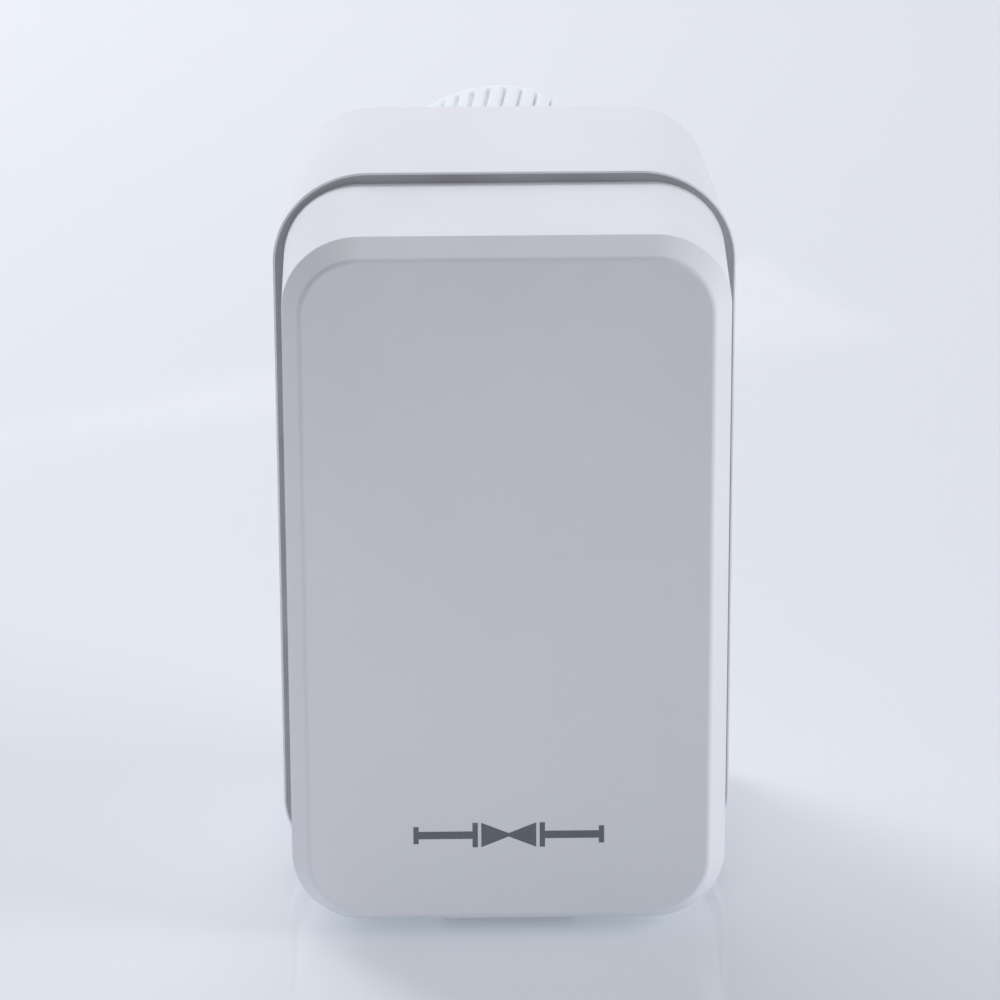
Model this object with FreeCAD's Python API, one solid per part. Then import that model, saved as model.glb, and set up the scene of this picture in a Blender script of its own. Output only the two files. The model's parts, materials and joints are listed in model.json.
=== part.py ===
import FreeCAD, Part
import math
import os

# Motorised actuator head: a drive that screws onto a valve body with a union nut
# and pushes the valve pin. Units are millimetres.
# Origin: centre of the union nut's mouth. +Y points out of the nut towards the
# valve, -Y is the front of the head, +Z is up, +X is to the right of someone
# who looks at the front.

os.makedirs("parts", exist_ok=True)

# How far a cutting shape runs past the face it opens, and how far a boss is
# sunk into the wall it stands on
OVERRUN = 1.0
ROOTED = 0.5

# Overall envelope
RIM_WIDTH = 60.0
RIM_HEIGHT = 100.0
RIM_CORNER = 12.5
RIM_FOOT_CORNER = 10.0
AXIS_ABOVE_BASE = 75.8
NUT_LENGTH = 20.6
NUT_TO_HOUSING_GAP = 0.4
REAR_DEPTH = 32.0
FRONT_DEPTH = 21.5

# Planes along Y
REAR_FACE = -(NUT_LENGTH + NUT_TO_HOUSING_GAP)
RIM_PLANE = REAR_FACE - REAR_DEPTH
FRONT_FACE = RIM_PLANE - FRONT_DEPTH
BASE = -AXIS_ABOVE_BASE
TOP = BASE + RIM_HEIGHT

# Shell shapes
WALL = 2.2
REAR_TAPER = 2.5
REAR_CORNER = 10.6
REAR_FOOT_CORNER = 8.6
REAR_EDGE_RADIUS = 1.2
COVER_INSET = 1.5
COVER_CORNER = 9.8
COVER_BEVEL_INSET = 2.2
COVER_BEVEL_DEPTH = 3.0
RIM_LIP = 0.3
RIM_ROUNDING = 0.18
COVER_EDGE_ROUNDING = 0.3
COVER_FACE_ROUNDING = 0.9
INNER_BEVEL_EXTRA = 0.2
RIM_STEP = 1.0
GASKET_THICKNESS = 1.0
GASKET_INNER_INSET = 2.6
GASKET_BOSS_GAP = 0.4

# Housing screws, one in each corner
HOUSING_SCREW_X = 21.0
HOUSING_SCREW_TOP = 14.0
HOUSING_SCREW_BOTTOM = -67.5
REAR_BOSS_RADIUS = 4.0
FRONT_BOSS_RADIUS = 3.4
HOUSING_SCREW_SEAT = -46.0
HOUSING_SCREW_TIP = -64.0
HOUSING_SCREW_RADIUS = 1.45
HOUSING_HEAD_RADIUS = 2.6
HOUSING_HEAD_HEIGHT = 2.2
HEAD_WELL_RADIUS = 2.9
SHANK_CLEARANCE = 0.2
FRONT_BOSS_END = RIM_PLANE + 0.6
REAR_BOSS_END = RIM_PLANE + 2.0
HOLE_SPARE = 0.3
RECESS_DEPTH = 1.0
RECESS_WIDTH = 0.56
RECESS_SHARE = 0.58

# Neck, union nut and snap ring
NECK_RADIUS = 11.2
NECK_END = -11.0
NECK_BORE_RADIUS = 4.1
NECK_COUNTERBORE_RADIUS = 6.6
NECK_COUNTERBORE_FLOOR = -15.0
NECK_ROOT_RADIUS = 10.2
NECK_ROOT_END = -25.4
RING_GROOVE_RADIUS = 10.2
RING_OUTER_RADIUS = 13.4
RING_BACK = -17.3
RING_THICKNESS = 1.4
NUT_RADIUS = 17.0
NUT_MINOR_RADIUS = 14.2
NUT_RELIEF_RADIUS = 14.9
NUT_LIP_RADIUS = 11.3
NUT_LIP_THICKNESS = 3.2
NUT_THREAD_START = -10.8
NUT_RIB_COUNT = 48
NUT_RIB_DEPTH = 0.7
NUT_GROOVE_WIDTH = 0.65
NUT_GROOVE_LEAN_DEGREES = 6.0
NUT_COLLAR = 1.2
NUT_EDGE_CHAMFER = 0.5
RING_GAP = 3.0
SEAL_CORD_RADIUS = 0.75
SEAL_GAP = 0.08
SEAL_POSITION = -19.0
SEAL_GROOVE_RADIUS = 5.6
SEAL_GROOVE_HALF = 1.0

# Spindle
SPINDLE_ROD_RADIUS = 4.0
SPINDLE_THREAD_RADIUS = 3.0
SPINDLE_TAIL_END = -57.0
SPINDLE_TAIL_START = -43.0
SPINDLE_ROD_START = -27.6
SPINDLE_TIP = -11.6
SPINDLE_FLAT = 2.2
PLATE_DISC_RADIUS = 6.2
PLATE_DISC_THICKNESS = 2.6
PLATE_DISC_CROWN = 1.0
PLATE_DISC_EDGE = 0.4
STUD_RADIUS = 2.0
GUIDE_FLANGE_RADIUS = 8.0
GUIDE_FLANGE_THICKNESS = 3.0
GUIDE_PILOT_RADIUS = 4.6
GUIDE_RELIEF = 0.15
GUIDE_RELIEF_START = 0.2
RUNNING_GAP = 0.05

# Gearbox plates
PLATE_THICKNESS = 1.5
PLATE_CORNER = 2.0
HOLE_GAP = 0.1
BACK_PLATE_OUTER = -26.0
BACK_PLATE_INNER = BACK_PLATE_OUTER - PLATE_THICKNESS
FRONT_PLATE_INNER = -43.5
FRONT_PLATE_OUTER = FRONT_PLATE_INNER - PLATE_THICKNESS
PLATE_OUTLINE = (
    (-12.0, 16.0),
    (12.0, 16.0),
    (24.0, 4.0),
    (24.0, -60.5),
    (-24.0, -60.5),
    (-24.0, 4.0),
)
POST_POSITIONS = ((-21.4, 1.0), (21.4, 1.0), (-20.8, -57.0), (20.8, -57.0))
POST_RADIUS = 2.2
POST_BOSS_RADIUS = 2.8
GEARBOX_SCREW_RADIUS = 1.25
GEARBOX_SCREW_TIP = -22.4
GEARBOX_HEAD_RADIUS = 2.2
GEARBOX_HEAD_HEIGHT = 1.5

# Gear train, from the motor to the output
FINE_MODULE = 0.5
COARSE_MODULE = 0.6
PINION_TEETH = 15
WHEEL_A_TEETH = 48
WHEEL_B_TEETH = 52
WHEEL_C_TEETH = 44
OUTPUT_TEETH = 60
PRESSURE_ANGLE = math.radians(20.0)
ADDENDUM_FACTOR = 0.8
DEDENDUM_FACTOR = 1.1
BACKLASH = 0.07
WHEEL_WIDTH = 2.5
AXLE_RADIUS = 1.0
MOTOR_X = 0.0
MOTOR_Z = -46.0
OUTPUT_BACK = -28.0
OUTPUT_WIDTH = 4.0
OUTPUT_HUB_RADIUS = 7.0
OUTPUT_HUB_FRONT = -40.0
OUTPUT_JOURNAL_RADIUS = 5.6
THRUST_INNER_RADIUS = 3.6
THRUST_WASHER = 0.8
THRUST_BALL_RADIUS = 0.8
THRUST_BALL_COUNT = 10
THRUST_PITCH_RADIUS = 5.3
CAGE_THICKNESS = 0.7
CAGE_INSET = 0.2

# Motor
MOTOR_RADIUS = 14.0
MOTOR_DEPTH = 19.0
MOTOR_SKIN = 0.8
MOTOR_PILOT_RADIUS = 5.0
MOTOR_SHAFT_RADIUS = 1.0
MOTOR_EAR_OFFSET = 17.0
MOTOR_EAR_RADIUS = 3.0
MOTOR_SCREW_RADIUS = 1.2
ROTOR_RADIUS = 6.2
STATOR_BORE_RADIUS = 6.5
STATOR_CLAW_DEPTH = 0.9
STATOR_CLAW_COUNT = 12
STATOR_SLOT_WIDTH = 1.2
STATOR_FLANGE = 0.8
COIL_INNER_RADIUS = 8.0
COIL_OUTER_RADIUS = 9.4
COIL_END_GAP = 1.1
MOTOR_PIN_RADIUS = 0.4
MOTOR_PIN_PITCH = 2.5
MOTOR_PIN_COUNT = 4
MOTOR_PIN_Z = -35.4
MOTOR_PIN_REACH = 5.0
TERMINAL_HEIGHT = 2.4
TERMINAL_DEPTH = 2.0
MOTOR_SCREW_HEAD_RADIUS = 2.1
MOTOR_SCREW_HEAD_HEIGHT = 1.4

# Circuit board and socket
BOARD_FRONT = FRONT_FACE + WALL + 2.0
BOARD_THICKNESS = 1.6
BOARD_BACK = BOARD_FRONT + BOARD_THICKNESS
BOARD_HALF_WIDTH = 25.0
BOARD_TOP = 19.0
BOARD_BOTTOM = -70.5
BOARD_CORNER = 5.0
BOARD_SCREW_POSITIONS = ((-20.5, -2.0), (20.5, -2.0), (-20.5, -54.0), (20.5, -54.0))
BOARD_SCREW_RADIUS = 1.0
BOARD_SCREW_LENGTH = 4.0
BOARD_SCREW_HEAD_RADIUS = 1.9
BOARD_SCREW_HEAD_HEIGHT = 1.2
BOARD_BOSS_RADIUS = 2.4
BOARD_HOLE_DEPTH = 2.6
BOSS_CLEARANCE = 0.5
SOLDER_TAIL = 1.0
SUPPLY_CAPACITOR_X = (-17.5, -4.5)
SUPPLY_CAPACITOR_Z = (-25.0, -19.0)
SUPPLY_CAPACITOR_HEIGHT = 9.0
CAN_PLACES = ((13.0, -22.0), (13.0, -13.0))
CAN_RADIUS = 4.0
CAN_HEIGHT = 11.0
COMPONENT_ROUNDING = 0.5
CHIP_HALF_WIDTH = 5.0
CHIP_Z = (10.5, 17.5)
CHIP_STANDOFF = 0.15
CHIP_TOP = 2.0
CHIP_LEG_COUNT = 7
CHIP_LEG_PITCH = 1.3
CHIP_LEG_WIDTH = 0.4
CHIP_LEG_HEIGHT = 0.6
CHIP_LEG_REACH = 1.0
CHIP_LEG_ROOT = 0.1
TRANSISTOR_X = (-16.0, -9.5)
TRANSISTOR_HALF_WIDTH = 2.5
TRANSISTOR_Z = (-14.0, -8.0)
TRANSISTOR_HEIGHT = 1.8
RESISTOR_ROWS = 2
RESISTOR_COLUMNS = 5
RESISTOR_START = (-12.0, 3.0)
RESISTOR_PITCH = (3.2, 3.4)
RESISTOR_SIZE = (1.6, 1.0)
RESISTOR_HEIGHT = 0.6
VARISTOR_X = 16.0
VARISTOR_Z = -38.0
VARISTOR_RADIUS = 3.5
VARISTOR_THICKNESS = 3.4
VARISTOR_STANDOFF = 0.7
VARISTOR_LEAD_OFFSET = 1.5
VARISTOR_LEAD_WIDTH = 0.6
VARISTOR_LEAD_REACH = 2.0
SOCKET_WIDTH = 17.0
SOCKET_BACK = -56.5
SOCKET_HEIGHT = 11.0
SOCKET_WALL = 1.3
SOCKET_PIN_COUNT = 3
SOCKET_PIN_PITCH = 3.8
SOCKET_PIN_RADIUS = 0.5
SOCKET_PIN_LENGTH = 6.2
SOCKET_PIN_STAND = 4.6
SOCKET_ROOF = 1.6
SOCKET_CLEARANCE = 0.15


def vec(x, y, z):
    return FreeCAD.Vector(x, y, z)


def rod(x, z, radius, y_start, y_end):
    """A round bar along Y between two planes."""
    return Part.makeCylinder(radius, y_end - y_start, vec(x, y_start, z), vec(0, 1, 0))


def tube(x, z, outer, inner, y_start, y_end):
    return rod(x, z, outer, y_start, y_end).cut(rod(x, z, inner, y_start, y_end))


def block(x_low, x_high, y_low, y_high, z_low, z_high):
    return Part.makeBox(x_high - x_low, y_high - y_low, z_high - z_low, vec(x_low, y_low, z_low))


def rounded_edges(half_width, z_low, z_high, corner, foot_corner, y):
    """The arcs and straight sides of a rounded rectangle in the plane at y, in turn."""
    centres = (
        (half_width - corner, z_high - corner, corner, 0.0),
        (corner - half_width, z_high - corner, corner, 90.0),
        (foot_corner - half_width, z_low + foot_corner, foot_corner, 180.0),
        (half_width - foot_corner, z_low + foot_corner, foot_corner, 270.0),
    )

    def on_corner(index, degrees):
        x, z, radius, start = centres[index % 4]
        turn = math.radians(start + degrees)
        return vec(x + radius * math.cos(turn), y, z + radius * math.sin(turn))

    edges = []
    for index in range(4):
        arc = Part.Arc(on_corner(index, 0), on_corner(index, 45), on_corner(index, 90))
        edges.append(arc.toShape())
        edges.append(Part.makeLine(on_corner(index, 90), on_corner(index + 1, 0)))
    return edges


def slab(half_width, z_low, z_high, corner, foot_corner, y_start, y_end):
    """A rounded block between two planes, its lower corners rounded by foot_corner."""
    wire = Part.Wire(rounded_edges(half_width, z_low, z_high, corner, foot_corner, y_start))
    return Part.Face(wire).extrude(vec(0, y_end - y_start, 0))


def polygon_plate(points, y_start, y_end):
    corners = [vec(x, y_start, z) for x, z in points]
    wire = Part.makePolygon(corners + [corners[0]])
    return Part.Face(wire).extrude(vec(0, y_end - y_start, 0))


def edges_at(shape, y):
    return [edge for edge in shape.Edges if all(abs(v.Point.y - y) < 1e-5 for v in edge.Vertexes)]


def one_solid(shape):
    return shape.Solids[0] if len(shape.Solids) == 1 else shape


def save(name, shape):
    solids = shape.Solids
    result = solids[0] if len(solids) == 1 else Part.makeCompound(solids)
    result.exportStep("parts/%s.step" % name)


def screw_positions():
    heights = (HOUSING_SCREW_TOP, HOUSING_SCREW_BOTTOM)
    return [(side * HOUSING_SCREW_X, z) for z in heights for side in (-1, 1)]


# ---------------------------------------------------------------- housing

def rear_outline(offset, y):
    """The edges of the tapering rear shell's section at y, its skin moved inwards by offset."""
    share = (y - RIM_PLANE) / REAR_DEPTH
    taper = REAR_TAPER * share
    corner = RIM_CORNER + (REAR_CORNER - RIM_CORNER) * share - offset
    foot_corner = RIM_FOOT_CORNER + (REAR_FOOT_CORNER - RIM_FOOT_CORNER) * share - offset
    half_width = RIM_WIDTH / 2 - taper - offset
    return rounded_edges(half_width, BASE + offset, TOP - taper - offset, corner, foot_corner, y)


def rear_block(offset, y_start, y_end):
    """The tapering rear shell as a solid between two planes, with true flat sides."""
    near_edges = rear_outline(offset, y_start)
    far_edges = rear_outline(offset, y_end)
    faces = [Part.Face(Part.Wire(near_edges)), Part.Face(Part.Wire(far_edges))]
    for near, far in zip(near_edges, far_edges):
        if isinstance(near.Curve, Part.Line):
            corners = [near.Vertexes[0].Point, near.Vertexes[-1].Point,
                       far.Vertexes[-1].Point, far.Vertexes[0].Point]
            faces.append(Part.Face(Part.makePolygon(corners + corners[:1])))
        else:
            faces.append(Part.makeRuledSurface(near, far))
    shell = Part.makeShell(faces)
    shell.sewShape()
    solid = Part.makeSolid(shell)
    if solid.Volume < 0:
        solid.reverse()
    return solid


def gasket_seat(y_start, y_end):
    """The recess in the rim that the gasket lies in."""
    return slab(RIM_WIDTH / 2 - RIM_LIP, BASE + RIM_LIP, TOP - RIM_LIP,
                RIM_CORNER - RIM_LIP, RIM_FOOT_CORNER - RIM_LIP, y_start, y_end)


def make_rear_housing():
    shell = rear_block(0.0, RIM_PLANE, REAR_FACE)
    shell = shell.makeFillet(REAR_EDGE_RADIUS, edges_at(shell, REAR_FACE)).Solids[0]
    shell = shell.makeFillet(RIM_ROUNDING, edges_at(shell, RIM_PLANE)).Solids[0]
    cavity_end = REAR_FACE - WALL
    shell = shell.cut(rear_block(WALL + RIM_STEP, RIM_PLANE - OVERRUN, cavity_end))
    shell = shell.cut(gasket_seat(RIM_PLANE - OVERRUN, RIM_PLANE + GASKET_THICKNESS))
    additions = []
    for x, z in screw_positions():
        additions.append(rod(x, z, REAR_BOSS_RADIUS, REAR_BOSS_END, cavity_end + ROOTED))
    for x, z in POST_POSITIONS:
        additions.append(rod(x, z, POST_BOSS_RADIUS, BACK_PLATE_OUTER, cavity_end + ROOTED))
    additions.append(rod(0, 0, NECK_RADIUS, cavity_end, NECK_END))
    additions.append(rod(0, 0, NECK_ROOT_RADIUS, NECK_ROOT_END, cavity_end + ROOTED))
    shell = shell.fuse(additions)
    cuts = []
    for x, z in screw_positions():
        shank_radius = HOUSING_SCREW_RADIUS + SHANK_CLEARANCE
        cuts.append(rod(x, z, shank_radius, RIM_PLANE - OVERRUN, REAR_FACE + OVERRUN))
        cuts.append(rod(x, z, HEAD_WELL_RADIUS, HOUSING_SCREW_SEAT, REAR_FACE + OVERRUN))
    for x, z in POST_POSITIONS:
        cuts.append(rod(x, z, GEARBOX_SCREW_RADIUS, BACK_PLATE_OUTER - OVERRUN, GEARBOX_SCREW_TIP))
    cuts.append(rod(0, 0, NECK_BORE_RADIUS, BACK_PLATE_OUTER - OVERRUN, NECK_END + OVERRUN))
    cuts.append(rod(0, 0, NECK_COUNTERBORE_RADIUS, NECK_COUNTERBORE_FLOOR, NECK_END + OVERRUN))
    cuts.append(rod(0, 0, SEAL_GROOVE_RADIUS,
                    SEAL_POSITION - SEAL_GROOVE_HALF, SEAL_POSITION + SEAL_GROOVE_HALF))
    cuts.append(tube(0, 0, NECK_RADIUS + OVERRUN, RING_GROOVE_RADIUS,
                     RING_BACK - RUNNING_GAP, RING_BACK + RING_THICKNESS + RUNNING_GAP))
    shell = shell.cut(Part.makeCompound(cuts))
    return one_solid(shell.removeSplitter())


def make_front_cover():
    half_width = RIM_WIDTH / 2 - COVER_INSET
    z_low = BASE + COVER_INSET
    z_high = TOP - COVER_INSET
    shell = slab(half_width, z_low, z_high, COVER_CORNER, COVER_CORNER, RIM_PLANE, FRONT_FACE)
    shell = shell.makeChamfer(COVER_BEVEL_DEPTH, COVER_BEVEL_INSET, edges_at(shell, FRONT_FACE)).Solids[0]
    shell = shell.makeFillet(COVER_FACE_ROUNDING, edges_at(shell, FRONT_FACE)).Solids[0]
    shell = shell.makeFillet(COVER_EDGE_ROUNDING, edges_at(shell, FRONT_FACE + COVER_BEVEL_DEPTH)).Solids[0]
    inner_corner = COVER_CORNER - WALL
    cavity = slab(half_width - WALL, z_low + WALL, z_high - WALL, inner_corner, inner_corner,
                  RIM_PLANE + OVERRUN, FRONT_FACE + WALL)
    inner_bevel = COVER_BEVEL_INSET + INNER_BEVEL_EXTRA
    inner_rim = edges_at(cavity, FRONT_FACE + WALL)
    cavity = cavity.makeChamfer(COVER_BEVEL_DEPTH, inner_bevel, inner_rim).Solids[0]
    shell = shell.cut(cavity)
    additions = []
    inner_face = FRONT_FACE + WALL
    for x, z in screw_positions():
        additions.append(rod(x, z, FRONT_BOSS_RADIUS, inner_face - ROOTED, FRONT_BOSS_END))
    for x, z in BOARD_SCREW_POSITIONS:
        additions.append(rod(x, z, BOARD_BOSS_RADIUS, inner_face - ROOTED, BOARD_FRONT))
    shell = shell.fuse(additions)
    cuts = []
    for x, z in screw_positions():
        cuts.append(rod(x, z, HOUSING_SCREW_RADIUS, HOUSING_SCREW_TIP, FRONT_BOSS_END + OVERRUN))
    for x, z in BOARD_SCREW_POSITIONS:
        cuts.append(rod(x, z, BOARD_SCREW_RADIUS, BOARD_FRONT - BOARD_HOLE_DEPTH, BOARD_FRONT + OVERRUN))
    mouth = SOCKET_WIDTH / 2 + SOCKET_CLEARANCE
    cuts.append(block(-mouth, mouth, BOARD_BACK, SOCKET_BACK + SOCKET_CLEARANCE,
                      z_low - OVERRUN, z_low + WALL + OVERRUN))
    shell = shell.cut(Part.makeCompound(cuts))
    return one_solid(shell.removeSplitter())


def make_parting_gasket():
    outer = gasket_seat(RIM_PLANE, RIM_PLANE + GASKET_THICKNESS)
    inset = GASKET_INNER_INSET + WALL
    y_low = RIM_PLANE - OVERRUN
    y_high = RIM_PLANE + GASKET_THICKNESS + OVERRUN
    inner = slab(RIM_WIDTH / 2 - inset, BASE + inset, TOP - inset,
                 RIM_CORNER - inset, RIM_FOOT_CORNER - inset, y_low, y_high)
    band = outer.cut(inner)
    for x, z in screw_positions():
        band = band.cut(rod(x, z, REAR_BOSS_RADIUS + GASKET_BOSS_GAP, y_low, y_high))
    return one_solid(band)


def make_housing_screws():
    screws = []
    head_top = HOUSING_SCREW_SEAT + HOUSING_HEAD_HEIGHT
    for x, z in screw_positions():
        shank = rod(x, z, HOUSING_SCREW_RADIUS, HOUSING_SCREW_TIP + HOLE_SPARE, HOUSING_SCREW_SEAT)
        head = rod(x, z, HOUSING_HEAD_RADIUS, HOUSING_SCREW_SEAT, head_top)
        head = cross_recess(head, x, z, head_top, HOUSING_HEAD_RADIUS * RECESS_SHARE)
        screws.append(shank.fuse(head).removeSplitter())
    return Part.makeCompound(screws)


def cross_recess(head, x, z, y_top, reach):
    """Cut a cross slot into the flat side of a screw head, which lies at y_top."""
    y_low = y_top - RECESS_DEPTH
    y_high = y_top + RECESS_DEPTH
    half = RECESS_WIDTH / 2
    head = head.cut(block(x - reach, x + reach, y_low, y_high, z - half, z + half))
    return head.cut(block(x - half, x + half, y_low, y_high, z - reach, z + reach))


# ---------------------------------------------------------------- union nut

def make_union_nut():
    back = -NUT_LENGTH
    body = rod(0, 0, NUT_RADIUS, back, 0)
    body = body.makeChamfer(NUT_EDGE_CHAMFER, edges_at(body, 0.0) + edges_at(body, back)).Solids[0]
    body = body.cut(rod(0, 0, NUT_LIP_RADIUS, back - OVERRUN, OVERRUN))
    body = body.cut(rod(0, 0, NUT_RELIEF_RADIUS, back + NUT_LIP_THICKNESS, NUT_THREAD_START))
    body = body.cut(rod(0, 0, NUT_MINOR_RADIUS, NUT_THREAD_START - OVERRUN, OVERRUN))
    grooves = []
    start = back + NUT_COLLAR
    length = NUT_LENGTH - 2 * NUT_COLLAR
    cutter = block(-NUT_GROOVE_WIDTH / 2, NUT_GROOVE_WIDTH / 2, 0, length,
                   NUT_RADIUS - NUT_RIB_DEPTH, NUT_RADIUS + OVERRUN)
    cutter.rotate(vec(0, length / 2, NUT_RADIUS), vec(0, 0, 1), NUT_GROOVE_LEAN_DEGREES)
    cutter.translate(vec(0, start, 0))
    for index in range(NUT_RIB_COUNT):
        groove = cutter.copy()
        groove.rotate(vec(0, 0, 0), vec(0, 1, 0), index * 360.0 / NUT_RIB_COUNT)
        grooves.append(groove)
    body = body.cut(Part.makeCompound(grooves))
    return one_solid(body)


def make_snap_ring():
    inner_radius = RING_GROOVE_RADIUS + RUNNING_GAP
    ring = tube(0, 0, RING_OUTER_RADIUS, inner_radius, RING_BACK, RING_BACK + RING_THICKNESS)
    gap = block(-RING_GAP / 2, RING_GAP / 2, RING_BACK - OVERRUN, RING_BACK + RING_THICKNESS + OVERRUN,
                -RING_OUTER_RADIUS - OVERRUN, 0)
    return one_solid(ring.cut(gap))


def make_spindle_seal():
    seal_radius = SPINDLE_ROD_RADIUS + SEAL_GAP + SEAL_CORD_RADIUS
    return Part.makeTorus(seal_radius, SEAL_CORD_RADIUS, vec(0, SEAL_POSITION, 0), vec(0, 1, 0))


# ---------------------------------------------------------------- spindle

def double_flat(radius, flat, y_start, y_end):
    bar = rod(0, 0, radius, y_start, y_end)
    return bar.common(block(-flat, flat, y_start, y_end, -radius - OVERRUN, radius + OVERRUN))


def make_spindle():
    tail = double_flat(SPINDLE_THREAD_RADIUS, SPINDLE_FLAT, SPINDLE_TAIL_END, SPINDLE_TAIL_START)
    thread = rod(0, 0, SPINDLE_THREAD_RADIUS, SPINDLE_TAIL_START, SPINDLE_ROD_START)
    bar = rod(0, 0, SPINDLE_ROD_RADIUS, SPINDLE_ROD_START, SPINDLE_TIP - PLATE_DISC_THICKNESS)
    stud = rod(0, 0, STUD_RADIUS, SPINDLE_TIP - PLATE_DISC_THICKNESS, SPINDLE_TIP - PLATE_DISC_CROWN)
    return one_solid(tail.fuse([thread, bar, stud]).removeSplitter())


def make_pressure_plate():
    disc = rod(0, 0, PLATE_DISC_RADIUS, SPINDLE_TIP - PLATE_DISC_THICKNESS, SPINDLE_TIP)
    disc = disc.makeFillet(PLATE_DISC_EDGE, edges_at(disc, SPINDLE_TIP)).Solids[0]
    hole_start = SPINDLE_TIP - PLATE_DISC_THICKNESS - OVERRUN
    hole = rod(0, 0, STUD_RADIUS, hole_start, SPINDLE_TIP - PLATE_DISC_CROWN)
    return one_solid(disc.cut(hole))


def make_spindle_guide():
    y_start = FRONT_PLATE_OUTER - GUIDE_FLANGE_THICKNESS
    flange = rod(0, 0, GUIDE_FLANGE_RADIUS, y_start, FRONT_PLATE_OUTER)
    pilot = rod(0, 0, GUIDE_PILOT_RADIUS, FRONT_PLATE_OUTER - ROOTED, FRONT_PLATE_INNER)
    guide = flange.fuse(pilot)
    opening = double_flat(SPINDLE_THREAD_RADIUS + RUNNING_GAP, SPINDLE_FLAT + RUNNING_GAP,
                          y_start - OVERRUN, FRONT_PLATE_OUTER)
    relief = rod(0, 0, SPINDLE_THREAD_RADIUS + GUIDE_RELIEF,
                 FRONT_PLATE_OUTER - GUIDE_RELIEF_START, FRONT_PLATE_INNER + OVERRUN)
    return one_solid(guide.cut(opening).cut(relief).removeSplitter())


# ---------------------------------------------------------------- gears

def gear_profile(module, teeth, phase):
    """The closed tooth outline of a spur gear, as points (x, z) grouped by edge."""
    pitch_radius = module * teeth / 2
    base_radius = pitch_radius * math.cos(PRESSURE_ANGLE)
    tip_radius = pitch_radius + ADDENDUM_FACTOR * module
    root_radius = pitch_radius - DEDENDUM_FACTOR * module
    half_tooth = math.pi / (2 * teeth) - BACKLASH / (4 * pitch_radius)
    involute_pitch = math.tan(PRESSURE_ANGLE) - PRESSURE_ANGLE
    foot_radius = max(base_radius, root_radius)

    def half_angle(radius):
        roll = math.acos(min(1.0, base_radius / radius))
        return half_tooth + involute_pitch - (math.tan(roll) - roll)

    def at(radius, angle):
        return (radius * math.cos(angle), radius * math.sin(angle))

    middle_radius = (foot_radius + tip_radius) / 2
    foot = half_angle(foot_radius)
    middle = half_angle(middle_radius)
    tip = half_angle(tip_radius)
    edges = []
    for index in range(teeth):
        centre = phase + 2 * math.pi * index / teeth
        following = phase + 2 * math.pi * (index + 1) / teeth
        if foot_radius > root_radius:
            edges.append((at(root_radius, centre - foot), at(foot_radius, centre - foot)))
        edges.append((at(foot_radius, centre - foot), at(middle_radius, centre - middle),
                      at(tip_radius, centre - tip)))
        edges.append((at(tip_radius, centre - tip), at(tip_radius, centre),
                      at(tip_radius, centre + tip)))
        edges.append((at(tip_radius, centre + tip), at(middle_radius, centre + middle),
                      at(foot_radius, centre + foot)))
        if foot_radius > root_radius:
            edges.append((at(foot_radius, centre + foot), at(root_radius, centre + foot)))
        valley = (centre + following) / 2
        edges.append((at(root_radius, centre + foot), at(root_radius, valley),
                      at(root_radius, following - foot)))
    return edges


def spur_gear(module, teeth, phase, centre, y_start, y_end):
    """A toothed disc between two planes, one tooth pointing along the phase angle."""
    edges = []
    for points in gear_profile(module, teeth, phase):
        places = [vec(centre[0] + x, y_start, centre[1] + z) for x, z in points]
        if len(places) == 2:
            edges.append(Part.makeLine(places[0], places[1]))
        else:
            edges.append(Part.Arc(places[0], places[1], places[2]).toShape())
    return Part.Face(Part.Wire(edges)).extrude(vec(0, y_end - y_start, 0))


def pair_distance(module, first_teeth, second_teeth):
    return module * (first_teeth + second_teeth) / 2


def meeting_point(first, first_reach, second, second_reach, side):
    """The point at the two given distances, on the chosen side of the line between the centres."""
    across = (second[0] - first[0], second[1] - first[1])
    distance = math.hypot(across[0], across[1])
    along = (first_reach ** 2 - second_reach ** 2 + distance ** 2) / (2 * distance)
    height = math.sqrt(first_reach ** 2 - along ** 2)
    unit_x = across[0] / distance
    unit_z = across[1] / distance
    x = first[0] + along * unit_x - side * height * unit_z
    z = first[1] + along * unit_z + side * height * unit_x
    return (x, z)


def matching_phase(centre, phase, teeth, other_centre, other_teeth):
    """The tooth angle of the second gear that puts its gap opposite a tooth of the first."""
    line = math.atan2(other_centre[1] - centre[1], other_centre[0] - centre[0])
    first_share = (line - phase) * teeth / (2 * math.pi)
    second_share = 0.5 - first_share
    return line + math.pi - second_share * 2 * math.pi / other_teeth


OUTPUT_CENTRE = (0.0, 0.0)
MOTOR_CENTRE = (MOTOR_X, MOTOR_Z)
GEAR_C_X = -11.0
GEAR_C_REACH = pair_distance(COARSE_MODULE, PINION_TEETH, OUTPUT_TEETH)
GEAR_C_CENTRE = (GEAR_C_X, -math.sqrt(GEAR_C_REACH ** 2 - GEAR_C_X ** 2))
GEAR_B_REACH = pair_distance(COARSE_MODULE, PINION_TEETH, WHEEL_C_TEETH)
GEAR_B_DROP = 0.9
GEAR_B_ACROSS = math.sqrt(GEAR_B_REACH ** 2 - GEAR_B_DROP ** 2)
GEAR_B_CENTRE = (GEAR_C_CENTRE[0] + GEAR_B_ACROSS, GEAR_C_CENTRE[1] - GEAR_B_DROP)
GEAR_A_CENTRE = meeting_point(
    MOTOR_CENTRE, pair_distance(FINE_MODULE, PINION_TEETH, WHEEL_A_TEETH),
    GEAR_B_CENTRE, pair_distance(FINE_MODULE, PINION_TEETH, WHEEL_B_TEETH), -1)

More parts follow.
